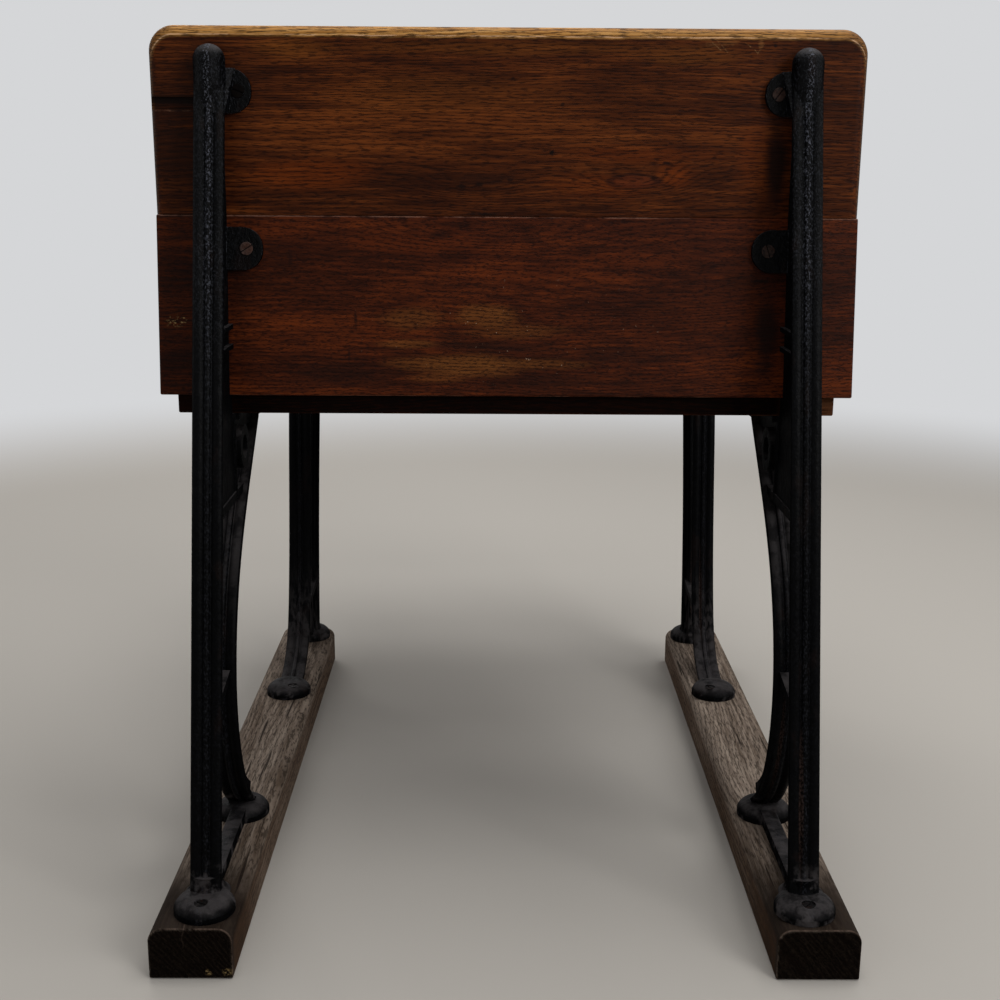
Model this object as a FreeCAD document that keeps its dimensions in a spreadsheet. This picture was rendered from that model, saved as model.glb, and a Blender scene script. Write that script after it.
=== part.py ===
import FreeCAD, Part
import os
from math import atan2, cos, degrees, hypot, radians, sin

import Sketcher

# Single school desk: oak desk box with a lift lid, a book shelf under it and a tip-up seat,
# all carried by cast-iron standards screwed to two oak runners.
#
# Directions: +Z is up, +Y runs from the back boards towards the seat, and left is -X.
# While it is built, y is measured from the rear ends of the runners. Every piece is then
# moved by -origin_y, so that the origin lies on the floor under the middle of the whole desk.

Vector = FreeCAD.Vector

DIMENSIONS = [
    # alias, value, meaning
    ("runner_length", 746, "runner, end to end"),
    ("runner_width", 69, "runner"),
    ("runner_height", 45, "runner"),
    ("runner_spacing", 517, "between the middles of the runners"),
    ("runner_round", 12, "radius of the runners' long top edges"),
    ("runner_ease", 1.5, "radius of the runners' other edges"),

    ("board_width", 613, "upper back board, ledge and lid, across the desk"),
    ("board_thick", 18, "back boards"),
    ("board_ease", 1.5, "radius of sawn edges"),
    ("desk_height", 766, "floor to the top of the upper back board"),
    ("upper_board_high", 157, "upper back board"),
    ("lower_board_high", 155.5, "lower back board, measured upright"),
    ("lower_board_short", 1, "by how much the lower back board is less wide"),
    ("back_y", 214, "rear face of the upper back board"),
    ("lower_lean", 19.5, "how far the lower board's foot stands out behind the seam"),
    ("corner_radius", 22, "top corners of the upper back board"),
    ("top_round", 8.5, "bull nose of the upper back board"),
    ("groove_drop", 59, "top edge down to the groove in the upper back board"),
    ("groove_high", 10.5, "groove"),
    ("groove_length", 50, "groove, from the left end of the board"),
    ("groove_deep", 5, "groove"),

    ("shelf_width", 585, "book shelf"),
    ("shelf_depth", 172, "book shelf"),
    ("shelf_thick", 17.5, "book shelf"),
    ("shelf_inset", 9, "rear edge of the shelf behind the foot of the lower board"),

    ("box_width", 588, "desk box, outside"),
    ("box_depth", 400, "desk box, from the back boards to its front face"),
    ("box_drop", 188, "top of the desk down to the underside of the box"),
    ("side_thick", 16, "sides and front of the box"),
    ("floor_thick", 10, "floor of the box"),

    ("ledge_drop", 44, "top of the desk down to the fixed ledge"),
    ("ledge_depth", 98, "ledge, front to back"),
    ("ledge_thick", 16, "ledge"),
    ("pen_groove_length", 300, "pen groove"),
    ("pen_groove_radius", 7, "pen groove"),
    ("pen_groove_inset", 40, "front edge of the ledge to the middle of the pen groove"),
    ("inkwell_x", 232, "inkwell, from the middle of the desk"),
    ("inkwell_inset", 50, "front edge of the ledge to the middle of the inkwell"),
    ("inkwell_radius", 18, "body of the inkwell"),
    ("inkwell_rim", 24, "radius of the inkwell's flange"),
    ("inkwell_deep", 34, "body of the inkwell below its flange"),
    ("inkwell_wall", 3.5, "inkwell"),
    ("inkwell_mouth", 9, "radius of the opening in the top of the inkwell"),
    ("inkwell_lip", 2, "inkwell's flange above the ledge, and its seat below"),
    ("inkwell_play", 0.5, "between the inkwell and its hole, all round"),

    ("lid_gap", 2, "between ledge and lid"),
    ("lid_depth", 316, "lid, measured level"),
    ("lid_thick", 16, "lid, measured upright"),
    ("lid_fall", 44, "drop of the lid from its hinges to its front edge"),
    ("rest_gap", 0.3, "between a closed moving part and its seat"),
    ("cleat_inset", 41, "rear edge of the lid to the battens"),
    ("cleat_length", 236, "battens under the lid"),
    ("cleat_width", 36, "battens under the lid"),
    ("cleat_thick", 14, "battens under the lid"),
    ("cleat_spacing", 430, "between the middles of the battens"),

    ("hinge_length", 64, "butt hinge"),
    ("hinge_leaf", 22, "width of one leaf"),
    ("hinge_thick", 1.8, "hinge leaf"),
    ("knuckle_radius", 3.4, "hinge"),
    ("hinge_pin_radius", 1.6, "hinge"),
    ("hinge_spacing", 380, "between the middles of the hinges"),
    ("knuckle_play", 0.25, "between the knuckles of two leaves"),

    ("standard_spacing", 503, "between the middle planes of the iron standards"),
    ("web_thick", 14, "web of the desk standards"),
    ("flange_width", 26, "moulded flange of the desk standards"),
    ("flange_thick", 7, "moulded flanges"),
    ("ridge_high", 3, "ridge along the middle of a flange"),
    ("rib_deep", 21, "legs, from the ridge to the edge of the rib"),
    ("pad_radius", 25.5, "feet of the desk standards"),
    ("pad_rim", 5, "feet"),
    ("pad_high", 14, "feet, domed"),
    ("neck_high", 26, "swelling where a leg meets its foot"),
    ("neck_radius", 19, "that swelling at its base"),
    ("rear_foot_y", 31, "rear foot of the desk standard"),
    ("fore_foot_y", 208, "front foot of the desk standard"),
    ("leg_foot_y", 36, "rear leg, ridge at the top of the neck"),
    ("leg_top_y", 197, "rear leg, ridge at its top"),
    ("head_drop", 30, "top of the desk down to the middle of the rear leg's round head"),
    ("head_radius", 13.5, "round head of the rear leg"),
    ("head_column", 20, "straight round stretch below the middle of that head"),
    ("waist_y", 134, "front leg where it comes closest to the rear leg"),
    ("waist_z", 185, "height of that place"),
    ("knee_y", 163, "front leg above the waist"),
    ("knee_drop", 151, "below the shelf"),
    ("hip_y", 236, "front leg near the scroll"),
    ("hip_drop", 70, "below the shelf"),
    ("low_bar_z", 205, "lower bar between the legs, at the rear leg"),
    ("low_bar_rise", 13, "rise of that bar towards the front leg"),
    ("high_bar_drop", 71, "upper bar between the legs, below the shelf"),
    ("bar_thick", 8, "bars between the legs"),
    ("bar_width", 17, "bars between the legs"),
    ("foot_bar_thick", 10, "bar between the feet"),
    ("throat_y", 205, "front edge of the web under the shelf"),
    ("scroll_radius", 20, "ring between the web and the front leg"),
    ("scroll_hole", 11, "hole of that ring"),
    ("scroll_width", 27, "that ring, across the standard"),
    ("arm_deep", 20, "arms under the shelf and under the box"),
    ("arm_flange", 6, "flanges of those arms"),
    ("shelf_arm_reach", 8, "arm under the shelf, beyond the shelf"),
    ("box_arm_reach", 372, "arm under the box, from the back boards"),
    ("lug_thick", 5, "screw lugs"),
    ("lug_radius", 18.5, "half the height of the lugs on the back boards"),
    ("upper_screw_inset", 11, "tip of an upper lug to the middle of its screw"),
    ("lower_screw_inset", 14, "tip of a lower lug to the middle of its screw"),
    ("lug_drop_upper", 54, "top of the upper board to the middle of its lugs"),
    ("lug_drop_lower", 29, "seam to the middle of the lower board's lugs"),
    ("lug_reach_upper", 32.5, "middle plane of a standard to the tip of an upper lug"),
    ("lug_reach_lower", 38.5, "middle plane of a standard to the tip of a lower lug"),
    ("small_lug_radius", 11, "half-round lugs under shelf and box"),
    ("small_lug_reach", 26, "middle plane of a standard to the tip of such a lug"),

    ("seat_flange_width", 27, "moulded flange of the seat standards"),
    ("seat_web_thick", 12, "web of the seat standards"),
    ("seat_pad_radius", 25.5, "feet of the seat standards"),
    ("seat_toe_y", 514, "rear foot of the seat standard"),
    ("seat_heel_y", 712, "front foot of the seat standard"),
    ("seat_head_y", 660, "rear leg of the seat standard near its top"),
    ("seat_bar_z", 118, "bar between the legs of the seat standard, at the rear leg"),
    ("seat_bar_rise", 11, "rise of that bar towards the front leg"),
    ("seat_rail_deep", 24, "rail of the seat standard below the seat"),
    ("seat_rail_tail", 44, "that rail, beyond the pivot"),
    ("pivot_y", 800, "pivot of the tip-up seat"),
    ("pivot_z", 386, "pivot of the tip-up seat"),
    ("pivot_radius", 6, "pivot pin"),
    ("pivot_boss", 16, "radius of the boss on the standard"),
    ("pivot_inset", 24, "middle plane of a standard to the inner end of its boss"),
    ("slat_width", 58, "seat slats"),
    ("slat_thick", 18, "seat slats"),
    ("slat_gap", 8, "between seat slats"),
    ("slat_length", 456, "seat slats"),
    ("seat_front_y", 612, "edge of the seat nearest the desk"),
    ("seat_top_z", 425, "seat, top of the slats"),
    ("bracket_rib", 15, "rib of the iron seat brackets below their top plate"),
    ("bracket_plate", 5, "top plate of the seat brackets"),
    ("bracket_width", 24, "top plate of the seat brackets"),
    ("bracket_gap", 2, "between the standard's boss and the bracket"),
    ("back_lean", 18, "how far the upright leans over the height of the backrest"),
    ("back_foot_y", 872, "upright, ridge at the foot of the backrest"),
    ("back_foot_z", 556, "bottom of the lower backrest rail"),
    ("back_top_z", 748, "top of the upper backrest rail"),
    ("rail_width", 566, "backrest rails"),
    ("rail_thick", 18, "backrest rails"),
    ("lower_rail_high", 62, "lower backrest rail"),
    ("upper_rail_high", 92, "upper backrest rail"),

    ("pivot_head", 9.5, "radius of the pivot pin's head"),
    ("pivot_head_thick", 4, "pivot pin's head"),
    ("bracket_boss", 20, "length of the bracket's boss"),
    ("stop_radius", 8, "stop under the seat bracket"),

    ("runner_screw_head", 5.6, "radius of a foot screw's head"),
    ("runner_screw_shank", 3, "radius of its shank"),
    ("runner_screw_length", 38, "foot screw"),
    ("lug_screw_head", 5.8, "radius of a back-board screw's head"),
    ("lug_screw_shank", 2.6, "radius of its shank"),
    ("lug_screw_length", 20, "back-board screw"),
    ("under_screw_head", 4.5, "radius of a shelf or box screw's head"),
    ("under_screw_shank", 2.2, "radius of its shank"),
    ("under_screw_length", 13, "shelf or box screw"),
    ("rail_screw_head", 5.4, "radius of a backrest screw's head"),
    ("rail_screw_shank", 2.5, "radius of its shank"),
    ("rail_screw_length", 18, "backrest screw"),
    ("seat_screw_head", 4, "radius of a seat screw's head"),
    ("seat_screw_shank", 2, "radius of its shank"),
    ("seat_screw_length", 18, "seat screw"),
    ("hinge_screw_head", 2.9, "radius of a hinge screw's head"),
    ("hinge_screw_shank", 1.4, "radius of its shank"),
    ("hinge_screw_length", 12, "hinge screw"),
    ("cleat_screw_head", 3.6, "radius of a batten screw's head"),
    ("cleat_screw_shank", 1.8, "radius of its shank"),
    ("cleat_screw_length", 24, "batten screw"),
    ("screw_proud", 0.8, "screw heads above the castings"),

    ("running_gap", 0.06, "radial clearance of turning pins"),
    ("snug_gap", 0.02, "radial clearance of pins and screws that stay put"),
]

DERIVED = [
    # alias, rule, meaning
    ("seam_z", "=desk_height - upper_board_high", "joint between the two back boards"),
    ("lower_board_z", "=seam_z - lower_board_high", "bottom edge of the lower back board"),
    ("lower_board_width", "=board_width - lower_board_short", "lower back board"),
    ("box_z", "=desk_height - box_drop", "underside of the desk box"),
    ("ledge_z", "=desk_height - ledge_drop", "top of the fixed ledge"),
    ("leg_top_z", "=desk_height - head_drop", "middle of the rear leg's round head"),
    ("origin_y", "0", "middle of the whole desk's depth, set when it is known"),
]

doc = FreeCAD.newDocument("school_desk")
sheet = doc.addObject("Spreadsheet::Sheet", "dim")
for row, (alias, content, meaning) in enumerate(DIMENSIONS + DERIVED, start=1):
    sheet.set(f"A{row}", meaning)
    sheet.set(f"B{row}", str(content))
    sheet.setAlias(f"B{row}", alias)
doc.recompute()

nodes = {}


def size(expression):
    """Value of a sheet alias, or of an expression over the aliases, in millimetres."""
    return float(sheet.evalExpression(expression))


def keep(label, thing):
    """Name a finished piece after its node and shift it to the common origin."""
    thing.Label = label
    thing.setExpression("Placement.Base.y", "-dim.origin_y")
    nodes[label] = thing
    return thing


# ---------------------------------------------------------------- wooden pieces

def origin_plane(body, role):
    return next(feature for feature in body.Origin.OriginFeatures if feature.Role == role)


def outline(body, role, corners):
    """Closed sketch on an origin plane of the body. Corners are pairs of expressions."""
    sketch = body.newObject("Sketcher::SketchObject", "outline")
    sketch.AttachmentSupport = [(origin_plane(body, role), "")]
    sketch.MapMode = "FlatFace"
    places = [Vector(size(across), size(along), 0) for across, along in corners]
    count = len(places)
    for i in range(count):
        sketch.addGeometry(Part.LineSegment(places[i], places[(i + 1) % count]))
    for i in range(count):
        sketch.addConstraint(Sketcher.Constraint("Coincident", i, 2, (i + 1) % count, 1))
    for i, (across, along) in enumerate(corners):
        for kind, number, rule in (("DistanceX", places[i].x, across), ("DistanceY", places[i].y, along)):
            index = sketch.addConstraint(Sketcher.Constraint(kind, -1, 1, i, 1, number))
            sketch.setExpression(f"Constraints[{index}]", dim(rule))
    return sketch


def dim(rule):
    """Expression with the sheet's name in front of each of its aliases."""
    words = rule.replace("(", "( ").replace(")", " )").split()
    return " ".join("dim." + word if word[0].isalpha() else word for word in words)


def pad(body, sketch, length, middle=None):
    """Pad a sketch equally both ways. A body whose pad isn't centred is shifted along X."""
    feature = body.newObject("PartDesign::Pad", "pad")
    feature.Profile = sketch
    feature.SideType = "Symmetric"
    feature.setExpression("Length", dim(length))
    if middle:
        sketch.setExpression("AttachmentOffset.Base.z", dim(middle))
    doc.recompute()
    return feature


def edge_names(shape, wanted):
    return [f"Edge{i}" for i, edge in enumerate(shape.Edges, start=1) if wanted(edge)]


def round_edges(body, radius, wanted=None):
    """Fillet every edge of the body, or those that the test picks."""
    base = body.Tip
    feature = body.newObject("PartDesign::Fillet", "rounding")
    if wanted:
        feature.Base = (base, edge_names(base.Shape, wanted))
    else:
        feature.Base = (base, [])
        feature.UseAllEdges = True
    feature.setExpression("Radius", dim(radius))
    doc.recompute()
    return feature


def board(label, corners, length, middle=None, ease="board_ease"):
    """Board with its outline in the YZ plane and its length along X, all edges eased."""
    body = doc.addObject("PartDesign::Body", label)
    sketch = outline(body, "YZ_Plane", corners)
    pad(body, sketch, length, middle)
    if ease:
        round_edges(body, ease)
    return body


def drilled(label, base, *holes):
    """Piece with its screw holes cut out."""
    tool = doc.addObject("Part::Feature", label + "_holes")
    tool.Shape = Part.makeCompound([solid for group in holes for solid in group.Solids])
    cut = doc.addObject("Part::Cut", label)
    cut.Base = base
    cut.Tool = tool
    doc.recompute()
    return keep(label, cut)


# ---------------------------------------------------------------- screws

def screw(kind, growth=0.0):
    """Countersunk slotted screw with its head's top at the origin, or the hole that it needs."""
    head_radius = size(kind + "_head") + growth
    shank_radius = size(kind + "_shank") + growth
    length = size(kind + "_length") + growth
    head_high = size(f"{kind}_head - {kind}_shank")
    head = Part.makeCone(shank_radius, head_radius, head_high, Vector(0, 0, -head_high))
    shank = Part.makeCylinder(shank_radius, length, Vector(0, 0, -length))
    solid = head.fuse(shank)
    if growth:
        return solid.fuse(Part.makeCylinder(head_radius, 3 * head_high))
    slot_wide = head_radius / 5
    slot_deep = head_high / 3
    slot_corner = Vector(-head_radius, -slot_wide / 2, -slot_deep)
    slot = Part.makeBox(2 * head_radius, slot_wide, slot_deep, slot_corner)
    return solid.cut(slot)


def seated(solid, seat):
    """Turn a solid's +Z to the seat's direction and move it to the seat's point."""
    point, direction, turn = seat
    tilt = FreeCAD.Rotation(Vector(0, 0, 1), direction)
    placed = solid.copy()
    placed.Placement = FreeCAD.Placement(point, tilt.multiply(FreeCAD.Rotation(Vector(0, 0, 1), turn)))
    return placed


def screws(label, kind, seats):
    """Make a group of identical screws, and return the holes that they sit in."""
    thing = doc.addObject("Part::Feature", label)
    thing.Shape = Part.makeCompound([seated(screw(kind), seat) for seat in seats])
    keep(label, thing)
    return Part.makeCompound([seated(screw(kind, size("snug_gap")), seat) for seat in seats])


# ---------------------------------------------------------------- castings

def moulded_section(width, deep, web):
    """Flange with a narrow ridge between two broad beads, and a rib behind it. x is across, y into
    the leg."""
    half = width / 2
    ridge = size("ridge_high")
    thick = size("flange_thick")
    fillet = size("ridge_high")
    foot = 0.21 * half
    groove = 0.29 * half
    shoulder = 0.92 * half
    corner = 1
    right = [
        ((0, 0), (0.7 * foot, 0.25 * ridge), (foot, 0.75 * ridge)),
        ((foot, 0.75 * ridge), (groove, 0.9 * ridge)),
        ((groove, 0.9 * ridge), (0.62 * half, 0.3 * ridge), (shoulder, 0.7 * ridge)),
        ((shoulder, 0.7 * ridge), (0.985 * half, ridge), (half, 1.4 * ridge)),
        ((half, 1.4 * ridge), (half, thick - corner)),
        ((half, thick - corner), (half - 0.3 * corner, thick - 0.3 * corner), (half - corner, thick)),
        ((half - corner, thick), (web / 2 + fillet, thick)),
        ((web / 2 + fillet, thick), (web / 2 + 0.3 * fillet, thick + 0.3 * fillet),
         (web / 2, thick + fillet)),
        ((web / 2, thick + fillet), (web / 2, deep)),
        ((web / 2, deep), (0, deep)),
    ]
    edges = []
    for side in (1, -1):
        for corners in right:
            places = [Vector(side * x, y, 0) for x, y in corners]
            curve = Part.Arc(*places) if len(places) == 3 else Part.LineSegment(*places)
            edges.append(curve.toShape())
    return Part.Wire(Part.__sortEdges__(edges))


def moulded_bar(points, width, deep, web, last=None):
    """Sweep the moulded section along a smooth curve of (y, z) points. The ridge follows the
    curve, and the rib lies on the right of the way the curve runs, seen with +Y to the right.
    A point named last is reached in a straight line, in which the curve ends."""
    places = [Vector(0, y, z) for y, z in points]
    curve = Part.BSplineCurve()
    if last:
        way = Vector(0, last[0], last[1]) - places[-1]
        curve.interpolate(Points=places, InitialTangent=places[1] - places[0], FinalTangent=way)
    else:
        curve.interpolate(places)
    edge = curve.toShape()
    along = edge.tangentAt(edge.FirstParameter)
    inward = Vector(0, along.z, -along.y)
    frame = FreeCAD.Matrix(1, 0, 0, places[0].x,
                           0, inward.y, along.y, places[0].y,
                           0, inward.z, along.z, places[0].z,
                           0, 0, 0, 1)
    profile = moulded_section(width, deep, web).transformGeometry(frame)
    path = [edge]
    if last:
        path.append(Part.LineSegment(places[-1], Vector(0, last[0], last[1])).toShape())
    pipe = Part.BRepOffsetAPI.MakePipeShell(Part.Wire(path))
    pipe.setBiNormalMode(Vector(1, 0, 0))
    pipe.add(profile)
    pipe.build()
    pipe.makeSolid()
    return pipe.shape()


def plate(points, thick, middle=0.0):
    """Flat plate with its (y, z) outline in the standard's plane."""
    places = [Vector(middle - thick / 2, y, z) for y, z in points]
    face = Part.Face(Part.makePolygon(places + places[:1]))
    return face.extrude(Vector(thick, 0, 0))


def disc(y, z, radius, start, end):
    """Round boss across the standard, from start to end along X."""
    return Part.makeCylinder(radius, end - start, Vector(start, y, z), Vector(1, 0, 0))


def bar(start, end, thick, width):
    """Straight flat bar between two (y, z) points on its top face's middle line."""
    length = hypot(end[0] - start[0], end[1] - start[1])
    piece = Part.makeBox(width, length, thick, Vector(-width / 2, 0, -thick))
    piece.rotate(Vector(), Vector(1, 0, 0), degrees(atan2(end[1] - start[1], end[0] - start[0])))
    piece.translate(Vector(0, start[0], start[1]))
    return piece


def foot(y, radius, neck_y=None):
    """Domed round foot on the runner, perhaps with a swelling that runs up into its leg."""
    rim = size("pad_rim")
    high = size("pad_high")
    base = size("runner_height")
    shoulder = Vector(0.8 * radius, 0, rim + 0.75 * (high - rim))
    outline_edges = [
        Part.LineSegment(Vector(), Vector(radius, 0, 0)),
        Part.LineSegment(Vector(radius, 0, 0), Vector(radius, 0, rim)),
        Part.Arc(Vector(radius, 0, rim), shoulder, Vector(radius / 3, 0, high)),
        Part.LineSegment(Vector(radius / 3, 0, high), Vector(0, 0, high)),
        Part.LineSegment(Vector(0, 0, high), Vector()),
    ]
    profile = Part.Face(Part.Wire([curve.toShape() for curve in outline_edges]))
    dome = profile.revolve(Vector(), Vector(0, 0, 1), 360)
    dome.translate(Vector(0, y, base))
    if neck_y is None:
        return dome
    wide = size("neck_radius")
    narrow = size("flange_width") / 2
    rise = size("neck_high") - high + rim
    bend = Vector(narrow + 0.25 * (wide - narrow), 0, 0.3 * rise)
    flare = [
        Part.LineSegment(Vector(), Vector(wide, 0, 0)),
        Part.Arc(Vector(wide, 0, 0), bend, Vector(narrow, 0, rise)),
        Part.LineSegment(Vector(narrow, 0, rise), Vector(0, 0, rise)),
        Part.LineSegment(Vector(0, 0, rise), Vector()),
    ]
    neck = Part.Face(Part.Wire([curve.toShape() for curve in flare])).revolve(Vector(), Vector(0, 0, 1), 360)
    neck.translate(Vector(0, neck_y, base + high - rim))
    return dome.fuse(neck)


def leg_head(y, z):
    """Round head of the rear leg, on a short column that tapers into the leg."""
    radius = size("head_radius")
    straight = size("head_column")
    slim = 0.99 * radius
    ball = Part.makeSphere(radius, Vector(0, y, z))
    column = Part.makeCylinder(slim, straight, Vector(0, y, z - straight))
    taper = Part.makeCone(0.65 * radius, slim, 1.5 * straight, Vector(0, y, z - 2.5 * straight))
    return ball.multiFuse([column, taper])


def lug(radius, reach, thick):
    """Screw lug in the XZ plane with its tip nearly half round, from the middle plane to its reach
    inboard (+X). Its seat is at y = 0, and its body lies on the -y side."""
    block = Part.makeBox(reach, thick, 2 * radius, Vector(0, -thick, -radius))
    tip = [edge for edge in block.Edges if edge.BoundBox.XMin > reach - radius / 2
           and edge.BoundBox.YLength > thick / 2]
    return block.makeFillet(0.95 * radius, tip)


def lower_face_y(z):
    """Rear face of the leaning lower back board at height z."""
    return size("back_y") - size("lower_lean") * (size("seam_z") - z) / size("seam_z - lower_board_z")


def leg_ridge_y(z):
    """Ridge of the straight rear leg at height z."""
    base = size("runner_height + neck_high")
    share = (z - base) / (size("leg_top_z") - base)
    return size("leg_foot_y") + share * size("leg_top_y - leg_foot_y")


def board_lean():
    return degrees(atan2(size("lower_lean"), size("seam_z - lower_board_z")))


def upper_lug_seat():
    """Point on the upper back board under the upper lug's screw, from the left standard's plane."""
    reach = size("lug_reach_upper - upper_screw_inset")
    return Vector(reach, size("back_y"), size("desk_height - lug_drop_upper"))


def lower_lug_seat():
    z = size("seam_z - lug_drop_lower")
    return Vector(size("lug_reach_lower - lower_screw_inset"), lower_face_y(z), z)


def small_lug_x():
    return size("small_lug_reach - small_lug_radius")


def shelf_rear_y():
    return lower_face_y(size("lower_board_z")) + size("shelf_inset")


def shelf_lug_places():
    return [shelf_rear_y() + share * size("shelf_depth") for share in (0.32, 0.86)]


def box_lug_places():
    rear = size("back_y + board_thick")
    return [rear + share * size("box_depth") for share in (0.16, 0.8)]


def timber_space():
    """Room that the woodwork takes up between the standards' arms, with a snug gap round it."""
    gap = size("snug_gap")
    wide = size("board_width")
    shelf_top = size("lower_board_z") + gap
    shelf_under = size("lower_board_z - shelf_thick") - gap
    seam = size("seam_z")
    thick = size("board_thick") + gap
    top = size("desk_height")
    low_z = size("lower_board_z") - gap
    low_face = lower_face_y(low_z) - gap
    rear = size("back_y") - gap
    boards = plate([
        (low_face, low_z), (rear, seam), (rear, top + thick), (rear + thick, top + thick),
        (rear + thick, seam), (low_face + thick, low_z)], wide)
    shelf_start = shelf_rear_y() - gap
    shelf_end = shelf_rear_y() + size("shelf_depth") + gap
    shelf = plate([
        (shelf_start, shelf_under), (shelf_end, shelf_under), (shelf_end, shelf_top),
        (shelf_start, shelf_top)], wide)
    box_under = size("box_z") - gap
    box_end = size("back_y + board_thick + box_depth")
    box = plate([(rear, box_under), (box_end, box_under), (box_end, top), (rear, top)], wide)
    runner_top = size("runner_height")
    ground = plate([(-thick, 0), (box_end, 0), (box_end, runner_top), (-thick, runner_top)], wide)
    return [boards, shelf, box, ground]


def desk_standard():
    """Cast-iron standard under the desk, at x = 0 with its lugs towards +X."""
    web = size("web_thick")
    width = size("flange_width")
    deep = size("rib_deep")
    thick = size("flange_thick")
    shelf = size("lower_board_z - shelf_thick")
    box_z = size("box_z")
    top_z = size("leg_top_z")
    throat = size("throat_y")
    fore = size("fore_foot_y")
    back = size("back_y")
    foot_z = size("runner_height + pad_high")
    buried = size("pad_rim")
    arm = size("arm_deep")
    flange = size("arm_flange")
    bar_thick = size("bar_thick")
    bar_width = size("bar_width")
    arm_end = shelf_rear_y() + size("shelf_depth + shelf_arm_reach")
    high_bar = shelf - size("high_bar_drop")
    rear_leg = [(leg_ridge_y(foot_z - buried), foot_z - buried), (size("leg_top_y"), top_z)]
    parts = [moulded_bar(rear_leg, width, deep, web)]
    parts.append(leg_head(back - size("head_radius"), top_z))
    # web between the rear leg, the back boards and the shelf, with a bead down its front edge
    parts.append(plate([
        (leg_ridge_y(high_bar) + thick, high_bar - bar_thick), (throat, high_bar - bar_thick),
        (throat, shelf), (shelf_rear_y(), shelf), (back, size("seam_z")),
        (back, top_z), (leg_ridge_y(top_z) + thick, top_z)], web))
    parts.append(plate([
        (throat - bar_thick / 2, high_bar - bar_thick), (throat, high_bar - bar_thick),
        (throat, shelf), (throat - bar_thick / 2, shelf)], web + bar_thick / 2))
    # two small ribs across the web, behind the lower board
    for share in (0.6, 0.71):
        z = size("seam_z") - share * size("seam_z - lower_board_z")
        parts.append(bar((leg_ridge_y(z) + thick / 2, z), (lower_face_y(z), z), bar_thick / 2, web + bar_thick))
    # front leg, from its foot up to the arm under the shelf
    waist_y = size("waist_y")
    waist_z = size("waist_z")
    hip_y = size("hip_y")
    hip_drop = size("hip_drop")
    parts.append(moulded_bar([
        (fore, foot_z - buried),
        (waist_y + 0.22 * (fore - waist_y), foot_z + 0.46 * (waist_z - foot_z)),
        (waist_y, waist_z),
        (size("knee_y"), shelf - size("knee_drop")),
        (hip_y, shelf - hip_drop),
        (hip_y + 0.9 * hip_drop, shelf - 0.22 * hip_drop),
    ], width, deep, web))
    parts.append(bar((leg_ridge_y(high_bar) + thick / 2, high_bar), (hip_y, high_bar), bar_thick, bar_width))
    low_bar = size("low_bar_z")
    low_bar_end = (waist_y + 2, low_bar + size("low_bar_rise"))
    parts.append(bar((leg_ridge_y(low_bar) + thick / 2, low_bar), low_bar_end, bar_thick, bar_width))
    parts.append(bar((size("rear_foot_y"), foot_z - 1), (fore, foot_z - 1), size("foot_bar_thick"), web))
    # scroll between the web and the front leg
    ring_radius = size("scroll_radius")
    ring_half = size("scroll_width") / 2
    ring_y = throat + 0.9 * ring_radius
    ring_z = shelf - arm - 0.7 * ring_radius
    parts.append(disc(ring_y, ring_z, ring_radius, -ring_half, ring_half))
    # arm under the shelf, brace, and arm under the box
    parts.append(plate([
        (throat, shelf - arm), (arm_end - 0.9 * arm, shelf - 1.3 * arm), (arm_end, shelf - arm / 2),
        (arm_end, shelf), (throat, shelf)], web))
    parts.append(Part.makeBox(width, arm_end - throat, flange, Vector(-width / 2, throat, shelf - flange)))
    inner = back + size("board_thick")
    box_end = inner + size("box_arm_reach")
    rise = box_z - shelf
    reach = box_end - arm_end
    parts.append(moulded_bar([
        (box_end, box_z - flange),
        (box_end - 0.34 * reach, box_z - 0.27 * rise),
        (arm_end + 0.33 * reach, shelf + 0.3 * rise),
        (arm_end - flange, shelf - arm),
    ], width, 0.8 * deep, web))
    parts.append(plate([
        (inner, box_z - arm), (box_end - 3 * arm, box_z - arm), (box_end, box_z - arm / 2),
        (box_end, box_z), (inner, box_z)], web))
    parts.append(Part.makeBox(width, box_end - inner, flange, Vector(-width / 2, inner, box_z - flange)))
    parts.append(foot(size("rear_foot_y"), size("pad_radius"), size("leg_foot_y + 0.4 * flange_width")))
    parts.append(foot(fore, size("seat_pad_radius")))
    # lugs on the back boards, under the shelf and under the box
    lug_thick = size("lug_thick")
    gap = size("snug_gap")
    upper = lug(size("lug_radius"), size("lug_reach_upper"), lug_thick)
    upper.translate(Vector(0, back - gap, upper_lug_seat().z))
    lower = lug(size("lug_radius"), size("lug_reach_lower"), lug_thick)
    lower.rotate(Vector(), Vector(1, 0, 0), -board_lean())
    lower.translate(Vector(0, lower_lug_seat().y - gap, lower_lug_seat().z))
    parts += [upper, lower, lug_gusset()]
    for places, z in ((shelf_lug_places(), shelf - gap), (box_lug_places(), box_z - gap)):
        for y in places:
            tab = lug(size("small_lug_radius"), size("small_lug_reach"), lug_thick)
            tab.rotate(Vector(), Vector(1, 0, 0), 90)
            tab.translate(Vector(0, y, z))
            parts.append(tab)
    casting = parts[0].multiFuse(parts[1:])
    casting = casting.cut(disc(ring_y, ring_z, size("scroll_hole"), -width, width))
    return casting.cut(timber_space()).removeSplitter()


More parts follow.
